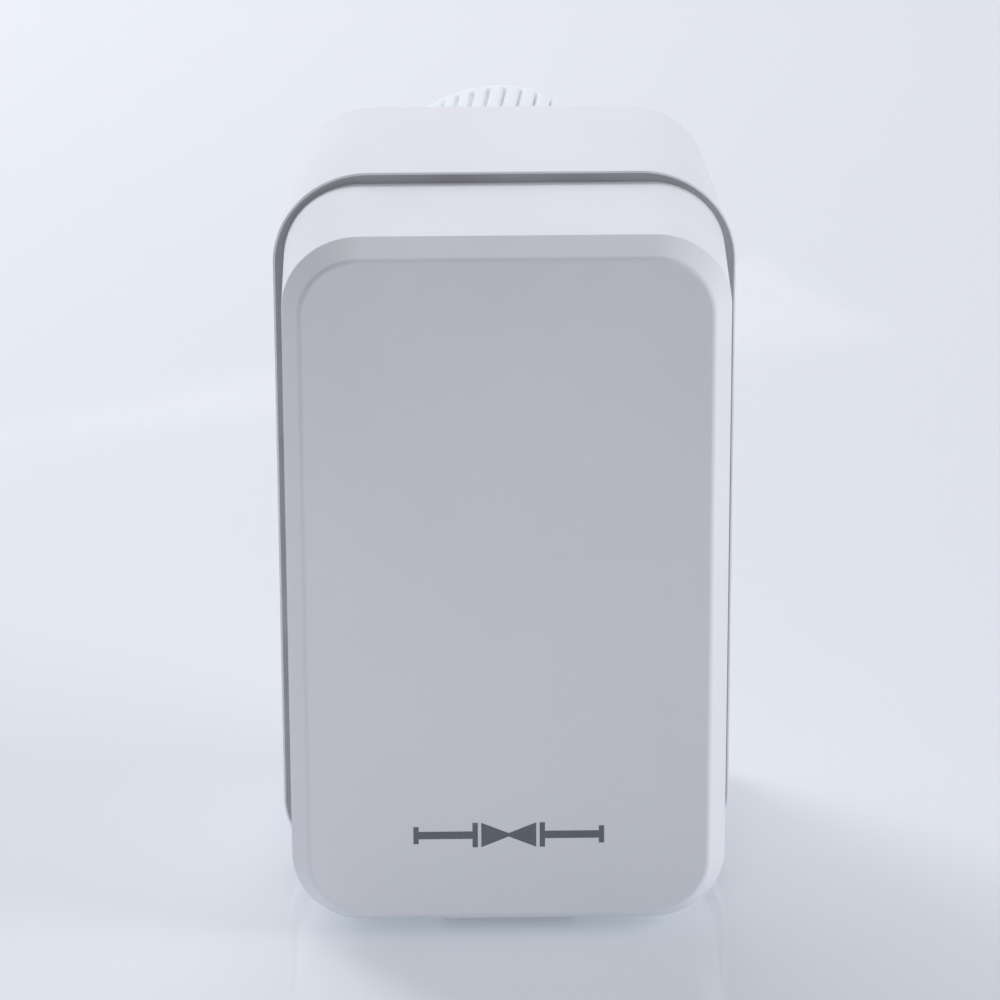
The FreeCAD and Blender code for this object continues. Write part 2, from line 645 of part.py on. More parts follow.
MOTOR_PHASE = 0.0
WHEEL_A_PHASE = matching_phase(MOTOR_CENTRE, MOTOR_PHASE, PINION_TEETH, GEAR_A_CENTRE, WHEEL_A_TEETH)
PINION_A_PHASE = 0.2
WHEEL_B_PHASE = matching_phase(GEAR_A_CENTRE, PINION_A_PHASE, PINION_TEETH, GEAR_B_CENTRE, WHEEL_B_TEETH)
PINION_B_PHASE = 0.1
WHEEL_C_PHASE = matching_phase(GEAR_B_CENTRE, PINION_B_PHASE, PINION_TEETH, GEAR_C_CENTRE, WHEEL_C_TEETH)
PINION_C_PHASE = 0.3
OUTPUT_PHASE = matching_phase(GEAR_C_CENTRE, PINION_C_PHASE, PINION_TEETH, OUTPUT_CENTRE, OUTPUT_TEETH)

# Gear layers along Y: wheel planes from the front plate to the back plate
LAYER_A = -42.5
LAYER_B = -39.0
LAYER_C = -35.5
HUB_RADIUS = 2.6
END_GAP = 0.15
WEB_RECESS = 0.6
WEB_INNER_RADIUS = 6.2
WEB_RIM_WIDTH = 2.4
FACE_SPARE = 0.3
OUTPUT_END_SPARE = 0.2
OUTPUT_WEB_RECESS = 1.2
OUTPUT_WEB_OUTER = 15.2
OUTPUT_WEB_INNER = 8.2
OUTPUT_ROD_GAP = 0.1
AXLE_CHAMFER = 0.2


def compound_gear(centre, wheel, pinion, pinion_span):
    """A moulded wheel and pinion on one hub, bored for its axle.

    wheel: (module, teeth, phase, low plane), pinion: (module, phase).
    """
    module, teeth, phase, low = wheel
    disc = spur_gear(module, teeth, phase, centre, low, low + WHEEL_WIDTH)
    groove_outer = module * teeth / 2 - WEB_RIM_WIDTH
    high = low + WHEEL_WIDTH
    for y_start, y_end in ((low - OVERRUN, low + WEB_RECESS), (high - WEB_RECESS, high + OVERRUN)):
        disc = disc.cut(tube(centre[0], centre[1], groove_outer, WEB_INNER_RADIUS, y_start, y_end))
    small = spur_gear(pinion[0], PINION_TEETH, pinion[1], centre, pinion_span[0], pinion_span[1])
    front_hub = rod(centre[0], centre[1], HUB_RADIUS, FRONT_PLATE_INNER + END_GAP, low + ROOTED)
    back_hub = rod(centre[0], centre[1], HUB_RADIUS, pinion_span[1] - ROOTED, BACK_PLATE_INNER - END_GAP)
    gear = disc.fuse([small, front_hub, back_hub])
    bore = rod(centre[0], centre[1], AXLE_RADIUS + RUNNING_GAP, FRONT_PLATE_INNER, BACK_PLATE_INNER)
    return one_solid(gear.cut(bore).removeSplitter())


def make_gear_a():
    wheel = (FINE_MODULE, WHEEL_A_TEETH, WHEEL_A_PHASE, LAYER_A)
    span = (LAYER_A + WHEEL_WIDTH - FACE_SPARE, LAYER_B + WHEEL_WIDTH + FACE_SPARE)
    return compound_gear(GEAR_A_CENTRE, wheel, (FINE_MODULE, PINION_A_PHASE), span)


def make_gear_b():
    wheel = (FINE_MODULE, WHEEL_B_TEETH, WHEEL_B_PHASE, LAYER_B)
    span = (LAYER_B + WHEEL_WIDTH - FACE_SPARE, LAYER_C + WHEEL_WIDTH + FACE_SPARE)
    return compound_gear(GEAR_B_CENTRE, wheel, (COARSE_MODULE, PINION_B_PHASE), span)


def make_gear_c():
    wheel = (COARSE_MODULE, WHEEL_C_TEETH, WHEEL_C_PHASE, LAYER_C)
    span = (LAYER_C + WHEEL_WIDTH - FACE_SPARE, OUTPUT_BACK + OUTPUT_END_SPARE)
    return compound_gear(GEAR_C_CENTRE, wheel, (COARSE_MODULE, PINION_C_PHASE), span)


def make_output_gear():
    low = OUTPUT_BACK - OUTPUT_WIDTH
    disc = spur_gear(COARSE_MODULE, OUTPUT_TEETH, OUTPUT_PHASE, OUTPUT_CENTRE, low, OUTPUT_BACK)
    front_recess = (low - OVERRUN, low + OUTPUT_WEB_RECESS)
    back_recess = (OUTPUT_BACK - OUTPUT_WEB_RECESS, OUTPUT_BACK + OVERRUN)
    for y_start, y_end in (front_recess, back_recess):
        disc = disc.cut(tube(0, 0, OUTPUT_WEB_OUTER, OUTPUT_WEB_INNER, y_start, y_end))
    hub = rod(0, 0, OUTPUT_HUB_RADIUS, OUTPUT_HUB_FRONT, low + ROOTED)
    journal = rod(0, 0, OUTPUT_JOURNAL_RADIUS, OUTPUT_BACK - ROOTED, BACK_PLATE_OUTER)
    end = BACK_PLATE_OUTER + OVERRUN
    bore = rod(0, 0, SPINDLE_THREAD_RADIUS + RUNNING_GAP, OUTPUT_HUB_FRONT - OVERRUN, end)
    clearance = rod(0, 0, SPINDLE_ROD_RADIUS + OUTPUT_ROD_GAP, SPINDLE_ROD_START - OUTPUT_ROD_GAP, end)
    return one_solid(disc.fuse([hub, journal]).cut(bore).cut(clearance).removeSplitter())


def make_motor_pinion():
    gear = spur_gear(FINE_MODULE, PINION_TEETH, MOTOR_PHASE, MOTOR_CENTRE,
                     FRONT_PLATE_INNER + FACE_SPARE, LAYER_A + WHEEL_WIDTH + FACE_SPARE)
    return one_solid(gear.cut(rod(MOTOR_X, MOTOR_Z, MOTOR_SHAFT_RADIUS, FRONT_PLATE_INNER, BACK_PLATE_INNER)))


def make_axle(centre):
    bar = rod(centre[0], centre[1], AXLE_RADIUS, FRONT_PLATE_OUTER, BACK_PLATE_OUTER)
    ends = edges_at(bar, FRONT_PLATE_OUTER) + edges_at(bar, BACK_PLATE_OUTER)
    return bar.makeChamfer(AXLE_CHAMFER, ends).Solids[0]


# ---------------------------------------------------------------- thrust bearing

THRUST_OUTER_RADIUS = OUTPUT_HUB_RADIUS
BALL_PLANE = OUTPUT_HUB_FRONT - THRUST_WASHER - THRUST_BALL_RADIUS - RUNNING_GAP


def ball_places():
    places = []
    for index in range(THRUST_BALL_COUNT):
        turn = 2 * math.pi * index / THRUST_BALL_COUNT
        places.append((THRUST_PITCH_RADIUS * math.cos(turn), THRUST_PITCH_RADIUS * math.sin(turn)))
    return places


def make_moving_washer():
    y_start = OUTPUT_HUB_FRONT - THRUST_WASHER
    return tube(0, 0, THRUST_OUTER_RADIUS, THRUST_INNER_RADIUS, y_start, OUTPUT_HUB_FRONT)


def make_fixed_washer():
    return tube(0, 0, THRUST_OUTER_RADIUS, THRUST_INNER_RADIUS, FRONT_PLATE_INNER,
                BALL_PLANE - THRUST_BALL_RADIUS - RUNNING_GAP)


def make_thrust_balls():
    balls = []
    for x, z in ball_places():
        balls.append(Part.makeSphere(THRUST_BALL_RADIUS, vec(x, BALL_PLANE, z)))
    return Part.makeCompound(balls)


def make_thrust_cage():
    low = BALL_PLANE - CAGE_THICKNESS / 2
    high = low + CAGE_THICKNESS
    cage = tube(0, 0, THRUST_OUTER_RADIUS - CAGE_INSET, THRUST_INNER_RADIUS + CAGE_INSET, low, high)
    for x, z in ball_places():
        cage = cage.cut(rod(x, z, THRUST_BALL_RADIUS + RUNNING_GAP, low - OVERRUN, high + OVERRUN))
    return one_solid(cage)


# ---------------------------------------------------------------- gearbox frame

def plate_with_axles(y_start, y_end):
    plate = polygon_plate(PLATE_OUTLINE, y_start, y_end)
    corners = []
    for edge in plate.Edges:
        if edge.BoundBox.YLength > PLATE_THICKNESS / 2:
            corners.append(edge)
    plate = plate.makeFillet(PLATE_CORNER, corners).Solids[0]
    holes = []
    for x, z in (GEAR_A_CENTRE, GEAR_B_CENTRE, GEAR_C_CENTRE):
        holes.append(rod(x, z, AXLE_RADIUS, y_start - OVERRUN, y_end + OVERRUN))
    for x, z in POST_POSITIONS:
        holes.append(rod(x, z, GEARBOX_SCREW_RADIUS + HOLE_GAP, y_start - OVERRUN, y_end + OVERRUN))
    return plate.cut(Part.makeCompound(holes))


def make_back_plate():
    plate = plate_with_axles(BACK_PLATE_INNER, BACK_PLATE_OUTER)
    hole = rod(0, 0, OUTPUT_JOURNAL_RADIUS + RUNNING_GAP,
               BACK_PLATE_INNER - OVERRUN, BACK_PLATE_OUTER + OVERRUN)
    return one_solid(plate.cut(hole))


def motor_ears():
    return [(MOTOR_X + side * MOTOR_EAR_OFFSET, MOTOR_Z) for side in (-1, 1)]


def make_front_plate():
    plate = plate_with_axles(FRONT_PLATE_OUTER, FRONT_PLATE_INNER)
    y_low = FRONT_PLATE_OUTER - OVERRUN
    y_high = FRONT_PLATE_INNER + OVERRUN
    plate = plate.cut(rod(0, 0, GUIDE_PILOT_RADIUS + RUNNING_GAP, y_low, y_high))
    plate = plate.cut(rod(MOTOR_X, MOTOR_Z, MOTOR_PILOT_RADIUS + RUNNING_GAP, y_low, y_high))
    for x, z in motor_ears():
        plate = plate.cut(rod(x, z, MOTOR_SCREW_RADIUS, y_low, y_high))
    return one_solid(plate)


def make_spacer_posts():
    posts = []
    for x, z in POST_POSITIONS:
        posts.append(tube(x, z, POST_RADIUS, GEARBOX_SCREW_RADIUS + HOLE_GAP,
                          FRONT_PLATE_INNER, BACK_PLATE_INNER))
    return Part.makeCompound(posts)


def front_headed_screw(x, z, radius, head_radius, head_height, seat, tip):
    """A screw with its head on the -Y side of the seat plane."""
    head = rod(x, z, head_radius, seat - head_height, seat)
    head = cross_recess(head, x, z, seat - head_height, head_radius * RECESS_SHARE)
    return rod(x, z, radius, seat, tip).fuse(head).removeSplitter()


def make_gearbox_screws():
    screws = []
    for x, z in POST_POSITIONS:
        screws.append(front_headed_screw(
            x, z, GEARBOX_SCREW_RADIUS, GEARBOX_HEAD_RADIUS, GEARBOX_HEAD_HEIGHT,
            FRONT_PLATE_OUTER, GEARBOX_SCREW_TIP - HOLE_SPARE))
    return Part.makeCompound(screws)


# ---------------------------------------------------------------- motor

MOTOR_BACK = FRONT_PLATE_OUTER
MOTOR_FRONT = MOTOR_BACK - MOTOR_DEPTH
FLANGE_THICKNESS = 1.0
MOTOR_PILOT_HEIGHT = 1.0
MOTOR_BEARING_RADIUS = 3.0
MOTOR_EDGE_RADIUS = 0.7
MOTOR_PIN_HOLE_RADIUS = MOTOR_PIN_RADIUS + 0.5
ROTOR_FRONT = MOTOR_FRONT + 2.4
ROTOR_BACK = MOTOR_BACK - 1.8
STATOR_GAP = 0.1


def make_motor_case():
    can = rod(MOTOR_X, MOTOR_Z, MOTOR_RADIUS, MOTOR_FRONT, MOTOR_BACK - FLANGE_THICKNESS)
    can = can.makeFillet(MOTOR_EDGE_RADIUS, edges_at(can, MOTOR_FRONT)).Solids[0]
    can = can.cut(rod(MOTOR_X, MOTOR_Z, MOTOR_RADIUS - MOTOR_SKIN, MOTOR_FRONT + MOTOR_SKIN, MOTOR_BACK))
    y_low = MOTOR_FRONT - OVERRUN
    y_high = MOTOR_FRONT + MOTOR_SKIN + OVERRUN
    can = can.cut(rod(MOTOR_X, MOTOR_Z, MOTOR_BEARING_RADIUS, y_low, y_high))
    for x in motor_pin_places():
        can = can.cut(rod(x, MOTOR_PIN_Z, MOTOR_PIN_HOLE_RADIUS, y_low, y_high))
    return one_solid(can)


def make_motor_flange():
    y_start = MOTOR_BACK - FLANGE_THICKNESS
    disc = rod(MOTOR_X, MOTOR_Z, MOTOR_RADIUS, y_start, MOTOR_BACK)
    for x, z in motor_ears():
        ear = rod(x, z, MOTOR_EAR_RADIUS, y_start, MOTOR_BACK)
        web = block(min(x, MOTOR_X), max(x, MOTOR_X), y_start, MOTOR_BACK,
                    z - MOTOR_EAR_RADIUS, z + MOTOR_EAR_RADIUS)
        disc = disc.fuse([ear, web])
    pilot_end = MOTOR_BACK + MOTOR_PILOT_HEIGHT
    disc = disc.fuse(rod(MOTOR_X, MOTOR_Z, MOTOR_PILOT_RADIUS, y_start, pilot_end))
    for x, z in motor_ears():
        disc = disc.cut(rod(x, z, MOTOR_SCREW_RADIUS + HOLE_GAP, y_start - OVERRUN, pilot_end + OVERRUN))
    disc = disc.cut(rod(MOTOR_X, MOTOR_Z, MOTOR_BEARING_RADIUS, y_start - OVERRUN, pilot_end + OVERRUN))
    return one_solid(disc.removeSplitter())


def make_motor_bearings():
    back = tube(MOTOR_X, MOTOR_Z, MOTOR_BEARING_RADIUS, MOTOR_SHAFT_RADIUS + RUNNING_GAP,
                MOTOR_BACK - FLANGE_THICKNESS, MOTOR_BACK + MOTOR_PILOT_HEIGHT)
    front = tube(MOTOR_X, MOTOR_Z, MOTOR_BEARING_RADIUS, MOTOR_SHAFT_RADIUS + RUNNING_GAP,
                 MOTOR_FRONT, MOTOR_FRONT + MOTOR_SKIN + MOTOR_PILOT_HEIGHT)
    return Part.makeCompound([back, front])


def make_motor_shaft():
    shaft_end = LAYER_A + WHEEL_WIDTH + FACE_SPARE
    return rod(MOTOR_X, MOTOR_Z, MOTOR_SHAFT_RADIUS, MOTOR_FRONT + FACE_SPARE, shaft_end)


def make_motor_rotor():
    return tube(MOTOR_X, MOTOR_Z, ROTOR_RADIUS, MOTOR_SHAFT_RADIUS, ROTOR_FRONT, ROTOR_BACK)


def stator_spans():
    inside_front = MOTOR_FRONT + MOTOR_SKIN
    inside_back = MOTOR_BACK - FLANGE_THICKNESS
    middle = (inside_front + inside_back) / 2
    front_ring = (inside_front + STATOR_GAP, middle - STATOR_GAP / 2)
    back_ring = (middle + STATOR_GAP / 2, inside_back - STATOR_GAP)
    return (front_ring, back_ring)


def make_motor_stator():
    """Two claw-pole rings, each with two flanges and a row of teeth round the rotor."""
    rings = []
    outer = MOTOR_RADIUS - MOTOR_SKIN
    claw_radius = STATOR_BORE_RADIUS + STATOR_CLAW_DEPTH
    for low, high in stator_spans():
        ring = rod(MOTOR_X, MOTOR_Z, outer, low, high)
        inside_low = low + STATOR_FLANGE
        inside_high = high - STATOR_FLANGE
        hollow = tube(MOTOR_X, MOTOR_Z, outer + OVERRUN, claw_radius, inside_low, inside_high)
        bore = rod(MOTOR_X, MOTOR_Z, STATOR_BORE_RADIUS, low - OVERRUN, high + OVERRUN)
        ring = ring.cut(hollow).cut(bore)
        slots = []
        for index in range(STATOR_CLAW_COUNT):
            slot = block(STATOR_BORE_RADIUS - OVERRUN, claw_radius + ROOTED, inside_low, inside_high,
                         -STATOR_SLOT_WIDTH / 2, STATOR_SLOT_WIDTH / 2)
            slot.rotate(vec(0, 0, 0), vec(0, 1, 0), index * 360.0 / STATOR_CLAW_COUNT)
            slot.translate(vec(MOTOR_X, 0, MOTOR_Z))
            slots.append(slot)
        for x in motor_pin_places():
            slots.append(rod(x, MOTOR_PIN_Z, MOTOR_PIN_HOLE_RADIUS, low - OVERRUN, high + OVERRUN))
        rings.append(one_solid(ring.cut(Part.makeCompound(slots))))
    return Part.makeCompound(rings)


def make_motor_coils():
    coils = []
    for low, high in stator_spans():
        coils.append(tube(MOTOR_X, MOTOR_Z, COIL_OUTER_RADIUS, COIL_INNER_RADIUS,
                          low + COIL_END_GAP, high - COIL_END_GAP))
    return Part.makeCompound(coils)


def motor_pin_places():
    middle = (MOTOR_PIN_COUNT - 1) / 2
    return [MOTOR_X + (index - middle) * MOTOR_PIN_PITCH for index in range(MOTOR_PIN_COUNT)]


def make_motor_terminal():
    """The terminal block on the front of the motor, with its pins through the board."""
    half = MOTOR_PIN_PITCH * MOTOR_PIN_COUNT / 2
    y_start = MOTOR_FRONT - TERMINAL_DEPTH
    body = block(MOTOR_X - half, MOTOR_X + half, y_start, MOTOR_FRONT,
                 MOTOR_PIN_Z - TERMINAL_HEIGHT / 2, MOTOR_PIN_Z + TERMINAL_HEIGHT / 2)
    for x in motor_pin_places():
        body = body.cut(rod(x, MOTOR_PIN_Z, MOTOR_PIN_RADIUS, y_start - OVERRUN, MOTOR_FRONT + OVERRUN))
    return one_solid(body)


def make_motor_pins():
    y_start = BOARD_FRONT - SOLDER_TAIL
    y_end = MOTOR_FRONT + MOTOR_PIN_REACH
    pins = [rod(x, MOTOR_PIN_Z, MOTOR_PIN_RADIUS, y_start, y_end) for x in motor_pin_places()]
    return Part.makeCompound(pins)


def make_motor_screws():
    screws = []
    for x, z in motor_ears():
        screws.append(front_headed_screw(
            x, z, MOTOR_SCREW_RADIUS, MOTOR_SCREW_HEAD_RADIUS, MOTOR_SCREW_HEAD_HEIGHT,
            MOTOR_BACK - FLANGE_THICKNESS, FRONT_PLATE_INNER))
    return Part.makeCompound(screws)


# ---------------------------------------------------------------- electronics

def make_circuit_board():
    board = slab(BOARD_HALF_WIDTH, BOARD_BOTTOM, BOARD_TOP, BOARD_CORNER, BOARD_CORNER,
                 BOARD_FRONT, BOARD_BACK)
    y_low = BOARD_FRONT - OVERRUN
    y_high = BOARD_BACK + OVERRUN
    cuts = []
    for x, z in screw_positions():
        cuts.append(rod(x, z, FRONT_BOSS_RADIUS + BOSS_CLEARANCE, y_low, y_high))
    for x, z in BOARD_SCREW_POSITIONS:
        cuts.append(rod(x, z, BOARD_SCREW_RADIUS + HOLE_GAP, y_low, y_high))
    for x in motor_pin_places():
        cuts.append(rod(x, MOTOR_PIN_Z, MOTOR_PIN_RADIUS, y_low, y_high))
    return one_solid(board.cut(Part.makeCompound(cuts)))


def make_board_screws():
    screws = []
    for x, z in BOARD_SCREW_POSITIONS:
        head_top = BOARD_BACK + BOARD_SCREW_HEAD_HEIGHT
        shank = rod(x, z, BOARD_SCREW_RADIUS, BOARD_BACK - BOARD_SCREW_LENGTH, BOARD_BACK)
        head = rod(x, z, BOARD_SCREW_HEAD_RADIUS, BOARD_BACK, head_top)
        head = cross_recess(head, x, z, head_top, BOARD_SCREW_HEAD_RADIUS * RECESS_SHARE)
        screws.append(shank.fuse(head).removeSplitter())
    return Part.makeCompound(screws)


def make_supply_capacitor():
    body = block(*SUPPLY_CAPACITOR_X, BOARD_BACK, BOARD_BACK + SUPPLY_CAPACITOR_HEIGHT, *SUPPLY_CAPACITOR_Z)
    return body.makeFillet(COMPONENT_ROUNDING, body.Edges).Solids[0]


def make_electrolytic_capacitors():
    cans = []
    top = BOARD_BACK + CAN_HEIGHT
    for x, z in CAN_PLACES:
        can = rod(x, z, CAN_RADIUS, BOARD_BACK, top)
        cans.append(can.makeFillet(COMPONENT_ROUNDING, edges_at(can, top)).Solids[0])
    return Part.makeCompound(cans)


def make_controller_chip():
    z_low, z_high = CHIP_Z
    body = block(-CHIP_HALF_WIDTH, CHIP_HALF_WIDTH,
                 BOARD_BACK + CHIP_STANDOFF, BOARD_BACK + CHIP_TOP, z_low, z_high)
    leg_top = BOARD_BACK + CHIP_LEG_HEIGHT
    legs = []
    for index in range(CHIP_LEG_COUNT):
        left = (index - (CHIP_LEG_COUNT - 1) / 2) * CHIP_LEG_PITCH - CHIP_LEG_WIDTH / 2
        right = left + CHIP_LEG_WIDTH
        legs.append(block(left, right, BOARD_BACK, leg_top, z_low - CHIP_LEG_REACH, z_low + CHIP_LEG_ROOT))
        legs.append(block(left, right, BOARD_BACK, leg_top, z_high - CHIP_LEG_ROOT, z_high + CHIP_LEG_REACH))
    return one_solid(body.fuse(legs).removeSplitter())


def make_driver_transistors():
    bodies = []
    for x in TRANSISTOR_X:
        bodies.append(block(x - TRANSISTOR_HALF_WIDTH, x + TRANSISTOR_HALF_WIDTH,
                            BOARD_BACK, BOARD_BACK + TRANSISTOR_HEIGHT, *TRANSISTOR_Z))
    return Part.makeCompound(bodies)


def make_board_resistors():
    bodies = []
    long_half = RESISTOR_SIZE[0] / 2
    short_half = RESISTOR_SIZE[1] / 2
    top = BOARD_BACK + RESISTOR_HEIGHT
    for row in range(RESISTOR_ROWS):
        for column in range(RESISTOR_COLUMNS):
            x = RESISTOR_START[0] + column * RESISTOR_PITCH[0]
            z = RESISTOR_START[1] + row * RESISTOR_PITCH[1]
            bodies.append(block(x - long_half, x + long_half, BOARD_BACK, top,
                                z - short_half, z + short_half))
    return Part.makeCompound(bodies)


def make_varistor():
    middle_y = BOARD_BACK + VARISTOR_STANDOFF + VARISTOR_RADIUS
    start = vec(VARISTOR_X, middle_y, VARISTOR_Z)
    disc = Part.makeCylinder(VARISTOR_RADIUS, VARISTOR_THICKNESS, start, vec(0, 0, 1))
    half = VARISTOR_LEAD_WIDTH / 2
    middle_z = VARISTOR_Z + VARISTOR_THICKNESS / 2
    leads = []
    for x in (VARISTOR_X - VARISTOR_LEAD_OFFSET, VARISTOR_X + VARISTOR_LEAD_OFFSET):
        leads.append(block(x - half, x + half, BOARD_BACK, BOARD_BACK + VARISTOR_LEAD_REACH,
                           middle_z - half, middle_z + half))
    return one_solid(disc.fuse(leads).removeSplitter())


SOCKET_FLOOR = BASE + COVER_INSET
SOCKET_TOP = SOCKET_FLOOR + SOCKET_HEIGHT
SOCKET_CAVITY_TOP = SOCKET_TOP - SOCKET_ROOF


def socket_cavity():
    half = SOCKET_WIDTH / 2 - SOCKET_WALL
    return (-half, half, BOARD_BACK + SOCKET_WALL, SOCKET_BACK - SOCKET_WALL, SOCKET_FLOOR, SOCKET_CAVITY_TOP)


def socket_pin_places():
    middle = (SOCKET_PIN_COUNT - 1) / 2
    return [(index - middle) * SOCKET_PIN_PITCH for index in range(SOCKET_PIN_COUNT)]


def make_socket():
    body = block(-SOCKET_WIDTH / 2, SOCKET_WIDTH / 2, BOARD_BACK, SOCKET_BACK, SOCKET_FLOOR, SOCKET_TOP)
    x_low, x_high, y_low, y_high, z_low, z_high = socket_cavity()
    body = body.cut(block(x_low, x_high, y_low, y_high, z_low - OVERRUN, z_high))
    y_middle = (y_low + y_high) / 2
    for x in socket_pin_places():
        start = vec(x, y_middle, z_high - OVERRUN)
        body = body.cut(Part.makeCylinder(SOCKET_PIN_RADIUS, SOCKET_ROOF + 2 * OVERRUN, start, vec(0, 0, 1)))
    return one_solid(body)


def make_socket_pins():
    """Contact pins standing down into the socket."""
    x_low, x_high, y_low, y_high, z_low, z_high = socket_cavity()
    y_middle = (y_low + y_high) / 2
    pins = []
    for x in socket_pin_places():
        start = vec(x, y_middle, z_high - SOCKET_PIN_STAND)
        pins.append(Part.makeCylinder(SOCKET_PIN_RADIUS, SOCKET_PIN_LENGTH, start, vec(0, 0, 1)))
    return Part.makeCompound(pins)


PIECES = {
    "rear_housing": make_rear_housing,
    "front_cover": make_front_cover,
    "parting_gasket": make_parting_gasket,
    "housing_screws": make_housing_screws,
    "union_nut": make_union_nut,
    "nut_snap_ring": make_snap_ring,
    "spindle_seal": make_spindle_seal,
    "spindle": make_spindle,
    "pressure_plate": make_pressure_plate,
    "spindle_guide": make_spindle_guide,
    "gear_a": make_gear_a,
    "gear_b": make_gear_b,
    "gear_c": make_gear_c,
    "output_gear": make_output_gear,
    "motor_pinion": make_motor_pinion,
    "axle_a": lambda: make_axle(GEAR_A_CENTRE),
    "axle_b": lambda: make_axle(GEAR_B_CENTRE),
    "axle_c": lambda: make_axle(GEAR_C_CENTRE),
    "thrust_washer_moving": make_moving_washer,
    "thrust_washer_fixed": make_fixed_washer,
    "thrust_balls": make_thrust_balls,
    "thrust_cage": make_thrust_cage,
    "gearbox_back_plate": make_back_plate,
    "gearbox_front_plate": make_front_plate,
    "spacer_posts": make_spacer_posts,
    "gearbox_screws": make_gearbox_screws,
    "motor_case": make_motor_case,
    "motor_flange": make_motor_flange,
    "motor_bearings": make_motor_bearings,
    "motor_shaft": make_motor_shaft,
    "motor_rotor": make_motor_rotor,
    "motor_stator": make_motor_stator,
    "motor_coils": make_motor_coils,
    "motor_terminal": make_motor_terminal,
    "motor_pins": make_motor_pins,
    "motor_screws": make_motor_screws,
    "circuit_board": make_circuit_board,
    "board_screws": make_board_screws,
    "supply_capacitor": make_supply_capacitor,
    "electrolytic_capacitors": make_electrolytic_capacitors,
    "controller_chip": make_controller_chip,
    "driver_transistors": make_driver_transistors,
    "board_resistors": make_board_resistors,
    "varistor": make_varistor,
    "cable_socket": make_socket,
    "socket_pins": make_socket_pins,
}

for name, maker in PIECES.items():
    save(name, maker())
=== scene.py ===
import json
import math

import bpy
from mathutils import Matrix, Vector


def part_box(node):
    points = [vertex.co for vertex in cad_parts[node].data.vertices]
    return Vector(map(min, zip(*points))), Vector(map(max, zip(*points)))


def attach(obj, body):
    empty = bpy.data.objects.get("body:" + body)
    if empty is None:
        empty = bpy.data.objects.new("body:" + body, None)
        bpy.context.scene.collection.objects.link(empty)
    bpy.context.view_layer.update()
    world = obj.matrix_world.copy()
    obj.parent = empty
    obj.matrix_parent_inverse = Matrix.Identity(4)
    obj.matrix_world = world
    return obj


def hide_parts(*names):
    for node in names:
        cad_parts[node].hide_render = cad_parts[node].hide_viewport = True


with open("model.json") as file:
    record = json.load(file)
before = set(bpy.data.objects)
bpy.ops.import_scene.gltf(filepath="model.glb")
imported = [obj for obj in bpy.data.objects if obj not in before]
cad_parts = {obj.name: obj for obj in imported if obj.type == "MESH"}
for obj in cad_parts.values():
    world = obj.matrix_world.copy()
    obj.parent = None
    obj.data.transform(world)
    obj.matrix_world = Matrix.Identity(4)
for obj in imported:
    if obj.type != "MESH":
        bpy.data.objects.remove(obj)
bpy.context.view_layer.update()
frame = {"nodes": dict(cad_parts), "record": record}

# Looks for a motorised actuator head. Units are metres, in the part's own frame:
# +Y out of the union nut, -Y towards the flat front face, +Z up.

MM = 0.001
EDGE_TURN = 0.12

RIM_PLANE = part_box("parting_gasket")[0].y
FRONT_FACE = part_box("front_cover")[0].y
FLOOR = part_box("rear_housing")[0].z
NUT_LOW, NUT_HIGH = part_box("union_nut")
MOTOR_LOW, MOTOR_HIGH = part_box("motor_case")
MOTOR_AXIS = Vector(((MOTOR_LOW.x + MOTOR_HIGH.x) / 2, 0.0, (MOTOR_LOW.z + MOTOR_HIGH.z) / 2))


# ---------------------------------------------------------------- node helpers

